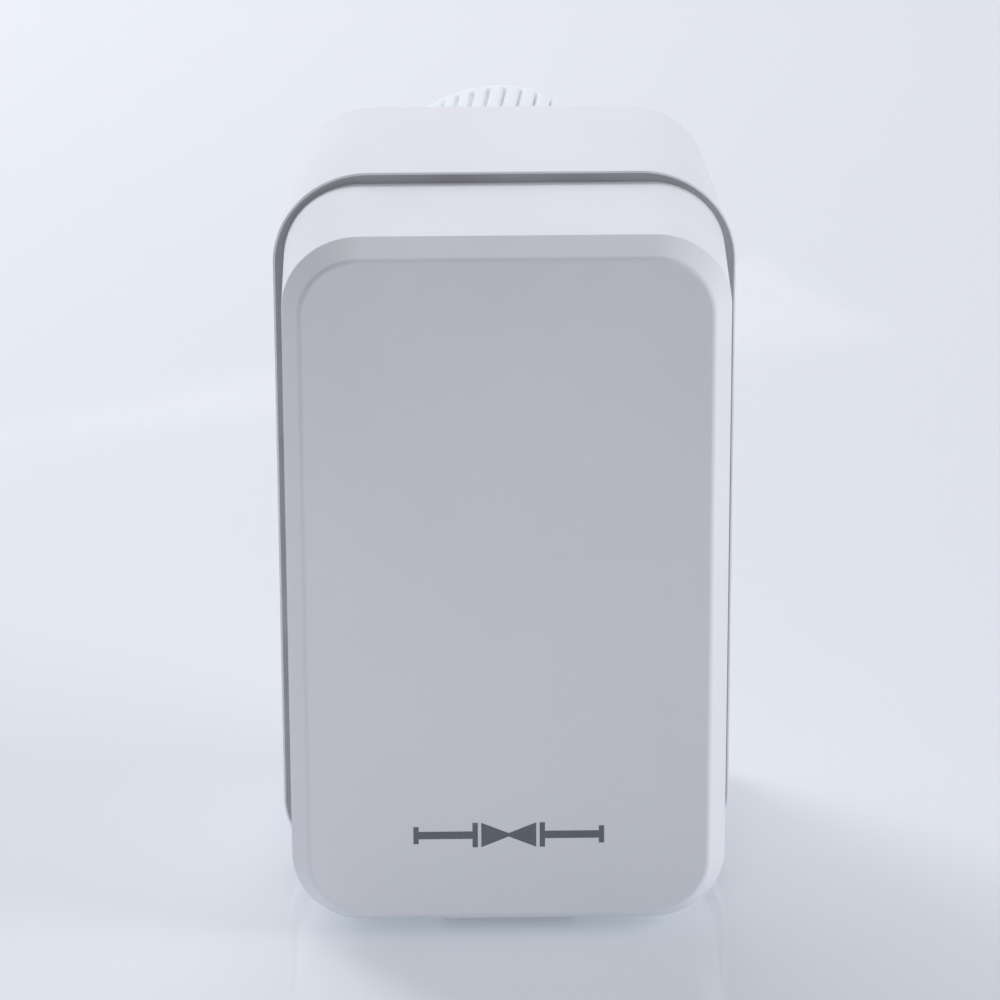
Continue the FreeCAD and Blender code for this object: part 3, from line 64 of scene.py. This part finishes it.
class Shader:
    """Short names for building one procedural material."""

    def __init__(self, name):
        self.material = bpy.data.materials.new(name)
        self.material.use_nodes = True
        self.tree = self.material.node_tree
        self.surface = self.tree.nodes["Principled BSDF"]
        self.place = self.tree.nodes.new("ShaderNodeTexCoord").outputs["Object"]

    def node(self, kind, **settings):
        made = self.tree.nodes.new("ShaderNode" + kind)
        for key, value in settings.items():
            setattr(made, key, value)
        return made

    def feed(self, target, value):
        if isinstance(value, bpy.types.NodeSocket):
            self.tree.links.new(value, target)
        else:
            target.default_value = value

    def stretch(self, scale, turn=(0.0, 0.0, 0.0)):
        mapping = self.node("Mapping")
        self.feed(mapping.inputs["Vector"], self.place)
        mapping.inputs["Rotation"].default_value = turn
        mapping.inputs["Scale"].default_value = scale
        return mapping.outputs["Vector"]

    def noise(self, scale, detail=3.0, roughness=0.55, place=None):
        texture = self.node("TexNoise")
        self.feed(texture.inputs["Vector"], place or self.place)
        texture.inputs["Scale"].default_value = scale
        texture.inputs["Detail"].default_value = detail
        texture.inputs["Roughness"].default_value = roughness
        return texture.outputs["Fac"]

    def cells(self, scale):
        texture = self.node("TexVoronoi", feature="F1")
        self.feed(texture.inputs["Vector"], self.place)
        texture.inputs["Scale"].default_value = scale
        return texture.outputs["Distance"]

    def remap(self, value, low, high, to_low, to_high):
        ranged = self.node("MapRange")
        self.feed(ranged.inputs["Value"], value)
        ranged.inputs["From Min"].default_value = low
        ranged.inputs["From Max"].default_value = high
        ranged.inputs["To Min"].default_value = to_low
        ranged.inputs["To Max"].default_value = to_high
        return ranged.outputs["Result"]

    def math(self, operation, first, second=0.0):
        result = self.node("Math", operation=operation)
        self.feed(result.inputs[0], first)
        self.feed(result.inputs[1], second)
        return result.outputs[0]

    def mix(self, factor, first, second):
        blend = self.node("Mix", data_type="RGBA")
        self.feed(blend.inputs["Factor"], factor)
        self.feed(blend.inputs["A"], first)
        self.feed(blend.inputs["B"], second)
        return blend.outputs["Result"]

    def bump(self, height, distance, strength=1.0, under=None):
        relief = self.node("Bump")
        relief.inputs["Strength"].default_value = strength
        relief.inputs["Distance"].default_value = distance
        self.feed(relief.inputs["Height"], height)
        if under is not None:
            self.feed(relief.inputs["Normal"], under)
        return relief.outputs["Normal"]

    def edge_mask(self, radius):
        """1 along edges, 0 on flats; the materials lighten the edges with it as a painted highlight."""
        bevel = self.node("Bevel", samples=4)
        bevel.inputs["Radius"].default_value = radius
        plain = self.node("NewGeometry")
        product = self.node("VectorMath", operation="DOT_PRODUCT")
        self.feed(product.inputs[0], bevel.outputs["Normal"])
        self.feed(product.inputs[1], plain.outputs["Normal"])
        return self.remap(product.outputs["Value"], 1.0, 1.0 - EDGE_TURN, 0.0, 1.0)

    def finish(self, colour, roughness, normal=None, **fixed):
        self.feed(self.surface.inputs["Base Color"], colour)
        self.feed(self.surface.inputs["Roughness"], roughness)
        if normal is not None:
            self.feed(self.surface.inputs["Normal"], normal)
        for key, value in fixed.items():
            self.surface.inputs[key.replace("_", " ")].default_value = value
        return self.material


def rgba(red, green, blue):
    return (red, green, blue, 1.0)


def shade(colour, factor):
    return rgba(*(min(1.0, channel * factor) for channel in colour[:3]))


# ---------------------------------------------------------------- materials

def moulded_plastic(name, colour, roughness, grain=0.012 * MM, edge_highlight=1.10, milky=0.0):
    """Spark-eroded moulding: fine grain, slow sink marks, faint dust and polished edges that also carry a
    painted highlight.

    The edge factor sets how much lighter the painted edge highlight is, and milky lets light into a
    translucent plastic."""
    s = Shader(name)
    cloud = s.remap(s.noise(28.0, 4.0), 0.3, 0.7, 0.0, 1.0)
    tone = s.mix(cloud, shade(colour, 0.972), shade(colour, 1.012))
    dust = s.remap(s.noise(2600.0, 2.0), 0.74, 0.80, 0.0, 0.35)
    tone = s.mix(dust, tone, shade(colour, 0.82))
    edge = s.edge_mask(0.25 * MM)
    # painted highlight: the edges are mixed towards a lighter copy of the colour
    tone = s.mix(s.math("MULTIPLY", edge, 0.5), tone, shade(colour, edge_highlight))
    patch = s.remap(s.noise(60.0, 3.0), 0.3, 0.7, roughness - 0.05, roughness + 0.06)
    rough = s.math("SUBTRACT", patch, s.math("MULTIPLY", edge, 0.16))
    sink = s.bump(s.noise(45.0, 1.0), 0.05 * MM, 0.35)
    fine = s.bump(s.noise(4200.0, 3.0), grain, 0.8, sink)
    s.surface.inputs["Subsurface Radius"].default_value = (0.8, 0.9, 1.0)
    return s.finish(tone, rough, fine, Specular_IOR_Level=0.5,
                    Subsurface_Weight=milky, Subsurface_Scale=MM)


def elastomer(name, colour, roughness=0.62):
    """Rubber with a blotchy bloom and a fine skin."""
    s = Shader(name)
    bloom = s.remap(s.noise(90.0, 5.0), 0.35, 0.7, 0.0, 1.0)
    tone = s.mix(bloom, shade(colour, 0.88), shade(colour, 1.10))
    rough = s.remap(s.noise(220.0, 3.0), 0.3, 0.7, roughness - 0.08, roughness + 0.1)
    skin = s.bump(s.noise(3000.0, 3.0), 0.015 * MM, 0.8)
    return s.finish(tone, rough, skin, Specular_IOR_Level=0.35)


def sheet_metal(name, colour, roughness, lines=(6000.0, 60.0, 60.0), spangle=0.0):
    """Rolled or ground metal with fine lines, optional zinc spangle and a painted highlight on the edges.
    """
    s = Shader(name)
    streak = s.noise(1.0, 4.0, 0.6, s.stretch(lines))
    tone = s.mix(s.remap(streak, 0.3, 0.7, 0.0, 1.0), shade(colour, 0.86), shade(colour, 1.08))
    if spangle:
        facet = s.remap(s.cells(520.0), 0.0, 0.8, 0.0, spangle)
        tone = s.mix(facet, tone, shade(colour, 0.72))
    edge = s.edge_mask(0.12 * MM)
    # painted highlight: the edges are mixed towards a lighter copy of the colour
    tone = s.mix(s.math("MULTIPLY", edge, 0.6), tone, shade(colour, 1.2))
    stain = s.remap(s.noise(140.0, 5.0), 0.3, 0.75, roughness - 0.06, roughness + 0.14)
    rough = s.math("ADD", stain, s.remap(streak, 0.3, 0.7, -0.04, 0.05))
    relief = s.bump(streak, 0.006 * MM, 0.7)
    return s.finish(tone, rough, relief, Metallic=1.0)


def turned_metal(name, colour, roughness, centre=Vector((0, 0, 0))):
    """Lathe-turned metal: rings about an axis along Y, with faint cross scratches."""
    s = Shader(name)
    moved = s.node("VectorMath", operation="SUBTRACT")
    s.feed(moved.inputs[0], s.place)
    moved.inputs[1].default_value = (centre.x, 0.0, centre.z)
    flat = s.node("VectorMath", operation="MULTIPLY")
    s.feed(flat.inputs[0], moved.outputs["Vector"])
    flat.inputs[1].default_value = (1.0, 0.0, 1.0)
    length = s.node("VectorMath", operation="LENGTH")
    s.feed(length.inputs[0], flat.outputs["Vector"])
    split = s.node("SeparateXYZ")
    s.feed(split.inputs["Vector"], s.place)
    combined = s.node("CombineXYZ")
    s.feed(combined.inputs["X"], length.outputs["Value"])
    s.feed(combined.inputs["Y"], split.outputs["Y"])
    ring = s.noise(7000.0, 2.0, 0.6, combined.outputs["Vector"])
    scratch = s.noise(1.0, 3.0, 0.6, s.stretch((300.0, 300.0, 4000.0), (0.3, 0.2, 0.5)))
    tone = s.mix(s.remap(ring, 0.3, 0.7, 0.0, 1.0), shade(colour, 0.84), shade(colour, 1.08))
    edge = s.edge_mask(0.1 * MM)
    # painted highlight: the edges are mixed towards a lighter copy of the colour
    tone = s.mix(s.math("MULTIPLY", edge, 0.6), tone, shade(colour, 1.2))
    rough = s.math("ADD", s.remap(ring, 0.3, 0.7, roughness - 0.05, roughness + 0.08),
                   s.remap(scratch, 0.55, 0.75, 0.0, 0.12))
    relief = s.bump(ring, 0.004 * MM, 0.7)
    return s.finish(tone, rough, relief, Metallic=1.0)


def matt_mineral(name, colour, roughness, metal=0.0):
    """Pressed ferrite, sintered bronze or fired ceramic: granular and slightly open."""
    s = Shader(name)
    grain = s.noise(2600.0, 5.0, 0.7)
    pores = s.remap(s.cells(1900.0), 0.0, 0.35, 1.0, 0.0)
    tone = s.mix(s.remap(grain, 0.3, 0.7, 0.0, 1.0), shade(colour, 0.75), shade(colour, 1.2))
    tone = s.mix(s.math("MULTIPLY", pores, 0.5), tone, shade(colour, 0.45))
    rough = s.remap(grain, 0.3, 0.7, roughness - 0.08, roughness + 0.08)
    relief = s.bump(grain, 0.02 * MM, 0.7)
    return s.finish(tone, rough, relief, Metallic=metal)


def copper_winding(name):
    """Layers of enamelled wire wound round the motor axis, with painted shade in the grooves between
    turns.
    """
    s = Shader(name)
    wires = s.node("TexWave", wave_type="BANDS", bands_direction="Y", wave_profile="SIN")
    s.feed(wires.inputs["Vector"], s.place)
    wires.inputs["Scale"].default_value = 1600.0
    wires.inputs["Distortion"].default_value = 0.6
    wires.inputs["Detail"].default_value = 1.0
    copper = rgba(0.72, 0.33, 0.16)
    # painted shade: the valleys between wire turns are darkened
    tone = s.mix(wires.outputs["Fac"], shade(copper, 0.35), copper)
    tone = s.mix(s.remap(s.noise(160.0, 3.0), 0.35, 0.7, 0.0, 0.5), tone, rgba(0.50, 0.16, 0.08))
    rough = s.remap(s.noise(900.0, 2.0), 0.3, 0.7, 0.24, 0.42)
    relief = s.bump(wires.outputs["Fac"], 0.05 * MM, 1.0)
    return s.finish(tone, rough, relief, Metallic=0.8, Coat_Weight=0.4, Coat_Roughness=0.15)


def circuit_laminate(name):
    """Green solder mask over copper tracks on woven glass."""
    s = Shader(name)
    tracks = s.node("TexBrick", offset=0.37, squash=1.6)
    s.feed(tracks.inputs["Vector"], s.stretch((1.0, 1.0, 1.0), (math.pi / 2, 0.0, 0.0)))
    tracks.inputs["Scale"].default_value = 150.0
    tracks.inputs["Mortar Size"].default_value = 0.022
    tracks.inputs["Mortar Smooth"].default_value = 0.1
    mask = rgba(0.012, 0.16, 0.065)
    tone = s.mix(tracks.outputs["Fac"], mask, rgba(0.035, 0.30, 0.12))
    vias = s.remap(s.cells(230.0), 0.045, 0.06, 1.0, 0.0)
    tone = s.mix(vias, tone, rgba(0.75, 0.72, 0.62))
    tone = s.mix(s.remap(s.noise(50.0, 3.0), 0.3, 0.7, 0.0, 0.25), tone, rgba(0.02, 0.12, 0.04))
    weave = s.node("TexChecker")
    s.feed(weave.inputs["Vector"], s.place)
    weave.inputs["Scale"].default_value = 1500.0
    under = s.bump(weave.outputs["Fac"], 0.004 * MM, 0.4)
    relief = s.bump(tracks.outputs["Fac"], 0.035 * MM, 0.9, under)
    rough = s.remap(s.noise(400.0, 2.0), 0.3, 0.7, 0.22, 0.36)
    return s.finish(tone, rough, relief, Coat_Weight=0.3, Coat_Roughness=0.1)


def glossy_body(name, colour, roughness=0.22):
    """Dipped or cast component bodies with a thick, slightly uneven skin."""
    s = Shader(name)
    tone = s.mix(s.remap(s.noise(300.0, 4.0), 0.3, 0.7, 0.0, 1.0), shade(colour, 0.85), shade(colour, 1.1))
    edge = s.edge_mask(0.2 * MM)
    # painted highlight: the edges are mixed towards a lighter copy of the colour
    tone = s.mix(s.math("MULTIPLY", edge, 0.4), tone, shade(colour, 1.35))
    rough = s.remap(s.noise(700.0, 2.0), 0.3, 0.7, roughness - 0.06, roughness + 0.1)
    relief = s.bump(s.noise(500.0, 2.0), 0.05 * MM, 0.5)
    return s.finish(tone, rough, relief, Coat_Weight=0.4, Coat_Roughness=0.12)


def printed_ink(name, colour):
    """Matt pad-printed ink, faintly speckled."""
    s = Shader(name)
    speckle = s.remap(s.noise(2400.0, 3.0), 0.35, 0.65, 0.0, 1.0)
    tone = s.mix(speckle, shade(colour, 0.93), shade(colour, 1.08))
    rough = s.remap(s.noise(900.0, 2.0), 0.3, 0.7, 0.45, 0.58)
    return s.finish(tone, rough, s.bump(s.noise(4200.0, 3.0), 0.008 * MM, 0.7))


WHITE = rgba(0.80, 0.808, 0.865)

MATERIALS = {
    "housing_white": moulded_plastic("housing_white", WHITE, 0.46),
    "gasket_grey": elastomer("gasket_grey", rgba(0.39, 0.39, 0.41)),
    "nut_white": moulded_plastic("nut_white", rgba(0.86, 0.90, 0.97), 0.40, 0.008 * MM, milky=0.6),
    "screw_steel": turned_metal("screw_steel", rgba(0.66, 0.67, 0.68), 0.30),
    "spring_steel": sheet_metal("spring_steel", rgba(0.30, 0.31, 0.33), 0.36),
    "seal_black": elastomer("seal_black", rgba(0.025, 0.025, 0.028), 0.48),
    "spindle_steel": turned_metal("spindle_steel", rgba(0.70, 0.70, 0.71), 0.20),
    "gear_plastic": moulded_plastic("gear_plastic", rgba(0.80, 0.77, 0.66), 0.34, 0.004 * MM),
    "gear_brass": turned_metal("gear_brass", rgba(0.80, 0.58, 0.24), 0.26, MOTOR_AXIS),
    "bearing_steel": turned_metal("bearing_steel", rgba(0.74, 0.75, 0.77), 0.16),
    "cage_plastic": moulded_plastic("cage_plastic", rgba(0.10, 0.17, 0.32), 0.42),
    "plate_steel": sheet_metal("plate_steel", rgba(0.62, 0.64, 0.66), 0.36, (60.0, 60.0, 5200.0), 0.35),
    "motor_steel": sheet_metal("motor_steel", rgba(0.58, 0.59, 0.61), 0.34, (900.0, 5200.0, 900.0), 0.15),
    "sintered_bronze": matt_mineral("sintered_bronze", rgba(0.56, 0.38, 0.18), 0.48, 1.0),
    "magnet_dark": matt_mineral("magnet_dark", rgba(0.075, 0.075, 0.08), 0.60),
    "stator_iron": sheet_metal("stator_iron", rgba(0.44, 0.45, 0.47), 0.42, (900.0, 5200.0, 900.0)),
    "copper_winding": copper_winding("copper_winding"),
    # strong painted highlight on the edges of the black terminal plastic
    "terminal_black": moulded_plastic("terminal_black", rgba(0.03, 0.03, 0.033), 0.42, 0.01 * MM, edge_highlight=1.8),
    "tin_pins": turned_metal("tin_pins", rgba(0.82, 0.81, 0.78), 0.18),
    "board_green": circuit_laminate("board_green"),
    "capacitor_yellow": glossy_body("capacitor_yellow", rgba(0.74, 0.50, 0.05)),
    "capacitor_sleeve": glossy_body("capacitor_sleeve", rgba(0.05, 0.08, 0.22), 0.28),
    "chip_black": matt_mineral("chip_black", rgba(0.028, 0.028, 0.03), 0.52),
    "resistor_ceramic": matt_mineral("resistor_ceramic", rgba(0.10, 0.10, 0.11), 0.40),
    "varistor_blue": glossy_body("varistor_blue", rgba(0.03, 0.14, 0.42)),
    # strong painted highlight on the edges of the black socket plastic
    "socket_black": moulded_plastic("socket_black", rgba(0.035, 0.035, 0.04), 0.44, 0.01 * MM, edge_highlight=1.8),
    "print_grey": printed_ink("print_grey", rgba(0.15, 0.16, 0.18)),
}


def paint(piece, material):
    piece.data.materials.clear()
    piece.data.materials.append(material)


for part in frame["record"]["subparts"]:
    paint(frame["nodes"][part["node"]], MATERIALS[part["material_slot"]])


# ---------------------------------------------------------------- pieces

def add_mesh(name, vertices, faces, material, body, smooth=True):
    mesh = bpy.data.meshes.new(name)
    mesh.from_pydata(vertices, [], faces)
    mesh.validate()
    mesh.update()
    piece = bpy.data.objects.new(name, mesh)
    bpy.context.scene.collection.objects.link(piece)
    paint(piece, material)
    for face in mesh.polygons:
        face.use_smooth = smooth
    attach(piece, body)
    return piece


def smooth_step(value):
    value = min(1.0, max(0.0, value))
    return value * value * (3.0 - 2.0 * value)


# Union nut: rounded ribs outside, a real helical thread inside.
NUT_RIBS = 48
NUT_STEPS_PER_RIB = 12
RIB_DEPTH = 0.7 * MM
RIB_GROOVE_SHARE = 0.34
RIB_LEAN = math.tan(math.radians(6.0))
RIB_COLLAR = 1.1 * MM
RIB_RUNOUT = 0.9 * MM
RIB_CROWN = 0.06 * MM
THREAD_PITCH = 1.5 * MM
THREAD_DEPTH = 0.80 * MM
THREAD_MINOR = 14.2 * MM
THREAD_MOUTH = 0.5 * MM
THREAD_LENGTH = 10.8 * MM
THREAD_STEPS = 72
NUT_ROUNDING = 0.5 * MM
NUT_ROUNDING_STEPS = 4
NUT_RIB_RINGS = 26
NUT_LIP_RADIUS = 11.3 * MM
NUT_LIP_THICKNESS = 3.2 * MM
NUT_RELIEF_RADIUS = 14.9 * MM
NUT_RELIEF_SLOPE = 0.35 * MM
NUT_CHAMFER = 0.3 * MM


def nut_outer_radius(y, angle):
    """Ribs with narrow leaning grooves that run out before each end."""
    radius = NUT_HIGH.x
    lean = (y - NUT_LOW.y) * RIB_LEAN / radius
    phase = ((angle + lean) * NUT_RIBS / (2 * math.pi)) % 1.0
    from_groove = abs(phase - 0.5) / (RIB_GROOVE_SHARE / 2)
    groove = 1.0 - smooth_step(from_groove)
    crown = RIB_CROWN * (math.cos(2 * math.pi * phase) - 1.0) / 2
    from_end = min(y - NUT_LOW.y, NUT_HIGH.y - y) - RIB_COLLAR
    share = smooth_step(from_end / RIB_RUNOUT)
    return radius + share * (crown - groove * RIB_DEPTH)


def nut_thread_radius(y, angle, start, end):
    """A triangular thread with flattened crests and roots, faded in at both ends."""
    turn = (y / THREAD_PITCH - angle / (2 * math.pi)) % 1.0
    ridge = abs(turn - 0.5) * 2.0
    profile = smooth_step((ridge - 0.12) / 0.70)
    fade_in = smooth_step((y - start) / (0.6 * THREAD_PITCH))
    fade = smooth_step((end - y) / (0.8 * THREAD_PITCH)) * fade_in
    lead_in = max(0.0, y - (end - THREAD_MOUTH))
    return THREAD_MINOR + max(profile * fade * THREAD_DEPTH, lead_in)


def nut_rings(thread_start):
    """The nut's section as rings (y, kind, radius or change of radius), outside first."""
    back = NUT_LOW.y
    mouth = NUT_HIGH.y
    lip_front = back + NUT_LIP_THICKNESS
    rings = []
    for step in range(NUT_ROUNDING_STEPS):
        turn = math.pi / 2 * step / NUT_ROUNDING_STEPS
        drop = NUT_ROUNDING * (1.0 - math.sin(turn))
        rings.append((back + NUT_ROUNDING * (1.0 - math.cos(turn)), "round", -drop))
    for step in range(NUT_RIB_RINGS + 1):
        share = step / NUT_RIB_RINGS
        rings.append((back + NUT_ROUNDING + share * (mouth - back - 2 * NUT_ROUNDING), "ribs", 0.0))
    for step in range(1, NUT_ROUNDING_STEPS + 1):
        turn = math.pi / 2 * step / NUT_ROUNDING_STEPS
        drop = NUT_ROUNDING * (1.0 - math.cos(turn))
        rings.append((mouth - NUT_ROUNDING * (1.0 - math.sin(turn)), "round", -drop))
    for step in range(THREAD_STEPS + 1):
        rings.append((mouth - step / THREAD_STEPS * (mouth - thread_start), "thread", 0.0))
    rings.append((thread_start - NUT_RELIEF_SLOPE, "bore", NUT_RELIEF_RADIUS))
    rings.append((lip_front + NUT_CHAMFER, "bore", NUT_RELIEF_RADIUS))
    rings.append((lip_front, "bore", NUT_RELIEF_RADIUS - NUT_CHAMFER))
    rings.append((lip_front, "bore", NUT_LIP_RADIUS + NUT_CHAMFER))
    rings.append((lip_front - NUT_CHAMFER, "bore", NUT_LIP_RADIUS))
    rings.append((back + NUT_CHAMFER, "bore", NUT_LIP_RADIUS))
    rings.append((back, "bore", NUT_LIP_RADIUS + NUT_CHAMFER))
    return rings


def make_union_nut():
    mouth = NUT_HIGH.y
    thread_start = mouth - THREAD_LENGTH
    rings = nut_rings(thread_start)
    around = NUT_RIBS * NUT_STEPS_PER_RIB
    vertices = []
    for y, kind, extra in rings:
        for index in range(around):
            angle = 2 * math.pi * index / around
            if kind == "ribs":
                radius = nut_outer_radius(y, angle)
            elif kind == "round":
                radius = NUT_HIGH.x + extra
            elif kind == "thread":
                radius = nut_thread_radius(y, angle, thread_start, mouth)
            else:
                radius = extra
            vertices.append((radius * math.cos(angle), y, radius * math.sin(angle)))
    faces = []
    for ring in range(len(rings)):
        following = (ring + 1) % len(rings)
        for index in range(around):
            beside = (index + 1) % around
            faces.append((ring * around + index, ring * around + beside,
                          following * around + beside, following * around + index))
    piece = add_mesh("ribbed_union_nut", vertices, faces, MATERIALS["nut_white"], "nut")
    piece.data.set_sharp_from_angle(angle=math.radians(50.0))
    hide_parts("union_nut")


# Printed mark: a plain valve symbol between two pipe stubs, low on the front face.
MARK_WIDTH = 25.0 * MM
MARK_HEIGHT = 3.6 * MM
MARK_HEIGHT_ABOVE_BASE = 15.4 * MM
MARK_THICKNESS = 0.012 * MM
MARK_ROOT = 0.004 * MM
PIPE_WIDTH = 1.1 * MM
FLANGE_WIDTH = 0.7 * MM
FLANGE_GAP = 0.45 * MM
VALVE_HALF = 3.6 * MM
VALVE_WAIST = 0.25 * MM
END_FLANGE_SHARE = 0.7


def rectangle(x_low, x_high, half_height):
    return [(x_low, -half_height), (x_low, half_height), (x_high, half_height), (x_high, -half_height)]


def signed_area(outline):
    """Twice the area of an outline, positive when its points run anticlockwise."""
    return sum(a[0] * b[1] - b[0] * a[1] for a, b in zip(outline, outline[1:] + outline[:1]))


def mark_outlines():
    """Two half valve triangles, with a flange, a pipe stub and an end flange beside each."""
    half = MARK_HEIGHT / 2
    flange = VALVE_HALF + FLANGE_GAP
    pipe = flange + FLANGE_WIDTH
    end = MARK_WIDTH / 2 - FLANGE_WIDTH
    end_reach = half * END_FLANGE_SHARE
    spans = ((flange, pipe, half), (pipe, end, PIPE_WIDTH / 2), (end, MARK_WIDTH / 2, end_reach))
    outlines = []
    for side in (-1, 1):
        outer = side * VALVE_HALF
        outlines.append([(outer, -half), (outer, half), (0.0, VALVE_WAIST), (0.0, -VALVE_WAIST)])
        for near, far, reach in spans:
            outlines.append(rectangle(*sorted((side * near, side * far)), reach))
    return outlines


def make_printed_mark():
    vertices = []
    faces = []
    for outline in mark_outlines():
        start = len(vertices)
        if signed_area(outline) > 0:
            outline = outline[::-1]
        for y in (FRONT_FACE - MARK_THICKNESS, FRONT_FACE + MARK_ROOT):
            vertices.extend((x, y, FLOOR + MARK_HEIGHT_ABOVE_BASE + z) for x, z in outline)
        count = len(outline)
        faces.append(tuple(range(start + count - 1, start - 1, -1)))
        faces.append(tuple(range(start + count, start + 2 * count)))
        for index in range(count):
            beside = (index + 1) % count
            faces.append((start + index, start + beside, start + count + beside, start + count + index))
    ink = MATERIALS["print_grey"]
    add_mesh("printed_valve_mark", vertices, faces, ink, "head", False)


make_union_nut()
make_printed_mark()


# ---------------------------------------------------------------- stage

FLOOR_GLOW_NEAR = 0.35
FLOOR_GLOW_FAR = 0.75
SWEEP_HALF_WIDTH = 1.6
SWEEP_FRONT_EDGE = -1.6
SWEEP_SEAMS = (-0.2, 0.3)
SWEEP_BEND_START = 0.75
SWEEP_BEND_RADIUS = 0.6
SWEEP_BEND_STEPS = 16
SWEEP_HEIGHT = 1.8

def floor_material():
    """Pale opal acrylic, polished on top, with a painted glow: it emits light, strongest near the object
    and a little stronger on the left.
    """
    s = Shader("studio_floor")
    split = s.node("SeparateXYZ")
    s.feed(split.inputs["Vector"], s.place)
    cloud = s.remap(s.noise(2.0, 2.0), 0.3, 0.7, 0.0, 1.0)
    tone = s.mix(cloud, rgba(0.54, 0.54, 0.575), rgba(0.56, 0.56, 0.595))
    # painted light: the floor glows, fading away from the object and stronger on the left, filling in the
    # object's shadow
    s.surface.inputs["Emission Color"].default_value = rgba(0.80, 0.92, 1.0)
    painted_glow_across = s.remap(split.outputs["X"], -0.12, 0.12, 0.275, 0.225)
    painted_glow_away = s.remap(split.outputs["Y"], FLOOR_GLOW_NEAR, FLOOR_GLOW_FAR, 1.0, 0.15)
    s.feed(s.surface.inputs["Emission Strength"], s.math("MULTIPLY", painted_glow_across, painted_glow_away))
    rough = s.remap(s.noise(6.0, 2.0), 0.3, 0.7, 0.03, 0.05)
    return s.finish(tone, rough, None, Specular_IOR_Level=0.5)


def make_backdrop():
    """A pale sweep: flat floor that curves up behind the object."""
    profile = [(y, FLOOR) for y in (SWEEP_FRONT_EDGE, *SWEEP_SEAMS, SWEEP_BEND_START)]
    for step in range(1, SWEEP_BEND_STEPS + 1):
        turn = math.pi / 2 * step / SWEEP_BEND_STEPS
        rise = SWEEP_BEND_RADIUS * (1.0 - math.cos(turn))
        profile.append((SWEEP_BEND_START + SWEEP_BEND_RADIUS * math.sin(turn), FLOOR + rise))
    profile.append((SWEEP_BEND_START + SWEEP_BEND_RADIUS, FLOOR + SWEEP_HEIGHT))
    vertices = [(x, y, z) for y, z in profile for x in (-SWEEP_HALF_WIDTH, SWEEP_HALF_WIDTH)]
    faces = [(2 * i, 2 * i + 1, 2 * i + 3, 2 * i + 2) for i in range(len(profile) - 1)]
    mesh = bpy.data.meshes.new("studio_sweep")
    mesh.from_pydata(vertices, [], faces)
    mesh.update()
    sweep = bpy.data.objects.new("studio_sweep", mesh)
    bpy.context.scene.collection.objects.link(sweep)
    for face in mesh.polygons:
        face.use_smooth = True
    paint(sweep, floor_material())


# Each lamp stands at a place and points at a target; powers are in watts.
CENTRE = (0.0, RIM_PLANE, FLOOR + 0.05)
FRONT_FOOT = (-0.015, FRONT_FACE, FLOOR + 0.005)
SPOT_DISTANCE = 0.57
SOFTBOX_TINT = (1.0, 0.98, 1.0)


def hang_lamp(name, light, place, target):
    lamp = bpy.data.objects.new(name, light)
    bpy.context.scene.collection.objects.link(lamp)
    lamp.location = place
    lamp.rotation_euler = (Vector(target) - Vector(place)).to_track_quat("-Z", "Y").to_euler()
    return lamp


def add_softbox(name, place, size, power):
    light = bpy.data.lights.new(name, "AREA")
    light.shape = "RECTANGLE"
    light.size = size[0]
    light.size_y = size[1]
    light.energy = power
    light.color = SOFTBOX_TINT
    return hang_lamp(name, light, place, CENTRE)


def add_spot(name, place, target, cone_degrees, power):
    """A soft spot whose cone fades out from its middle."""
    light = bpy.data.lights.new(name, "SPOT")
    light.spot_size = math.radians(cone_degrees)
    light.spot_blend = 1.0
    light.shadow_soft_size = 0.04
    light.energy = power
    return hang_lamp(name, light, place, target)


def make_lights():
    world = bpy.data.worlds.new("studio_air")
    world.use_nodes = True
    background = world.node_tree.nodes["Background"]
    background.inputs["Color"].default_value = (0.93, 0.955, 1.0, 1.0)
    background.inputs["Strength"].default_value = 0.31
    bpy.context.scene.world = world
    add_softbox("back_softbox", (-0.22, 0.62, FLOOR + 1.05), (0.9, 0.4), 7.2)
    spot_place = (-0.16, FRONT_FACE - SPOT_DISTANCE, FLOOR + 0.03)
    unreflected = [
        add_softbox("right_softbox", (0.78, -0.19, FLOOR + 0.30), (0.35, 0.6), 3.9),
        add_softbox("left_softbox", (-0.54, 0.56, FLOOR + 0.36), (0.35, 0.5), 4.0),
        add_spot("low_front_spot", spot_place, FRONT_FOOT, 22.0, 1.7),
    ]
    for lamp in unreflected:
        lamp.visible_glossy = False
        lamp.visible_camera = False


CAMERA_PITCH = math.radians(24.0)
CAMERA_YAW = math.radians(0.73)
CAMERA_ROLL = math.radians(-0.22)
CAMERA_PLACE = Vector((-0.0095, RIM_PLANE - 0.68994, FLOOR + 0.36106))


def make_camera():
    """The camera stands in front, a little left of the middle, looking down."""
    reach = math.cos(CAMERA_PITCH)
    forward = Vector((math.sin(CAMERA_YAW) * reach, math.cos(CAMERA_YAW) * reach, -math.sin(CAMERA_PITCH)))
    level = Vector((math.cos(CAMERA_YAW), -math.sin(CAMERA_YAW), 0.0))
    raised = level.cross(forward)
    right = math.cos(CAMERA_ROLL) * level + math.sin(CAMERA_ROLL) * raised
    up = math.cos(CAMERA_ROLL) * raised - math.sin(CAMERA_ROLL) * level
    data = bpy.data.cameras.new("camera")
    data.lens = 206.4
    data.sensor_width = 36.0
    data.clip_start = 0.01
    data.clip_end = 20.0
    camera = bpy.data.objects.new("camera", data)
    bpy.context.scene.collection.objects.link(camera)
    turn = Matrix((right, up, -forward)).transposed()
    camera.matrix_world = Matrix.Translation(CAMERA_PLACE) @ turn.to_4x4()
    bpy.context.scene.camera = camera


make_backdrop()
make_lights()
make_camera()
bpy.context.scene.view_settings.view_transform = "Standard"
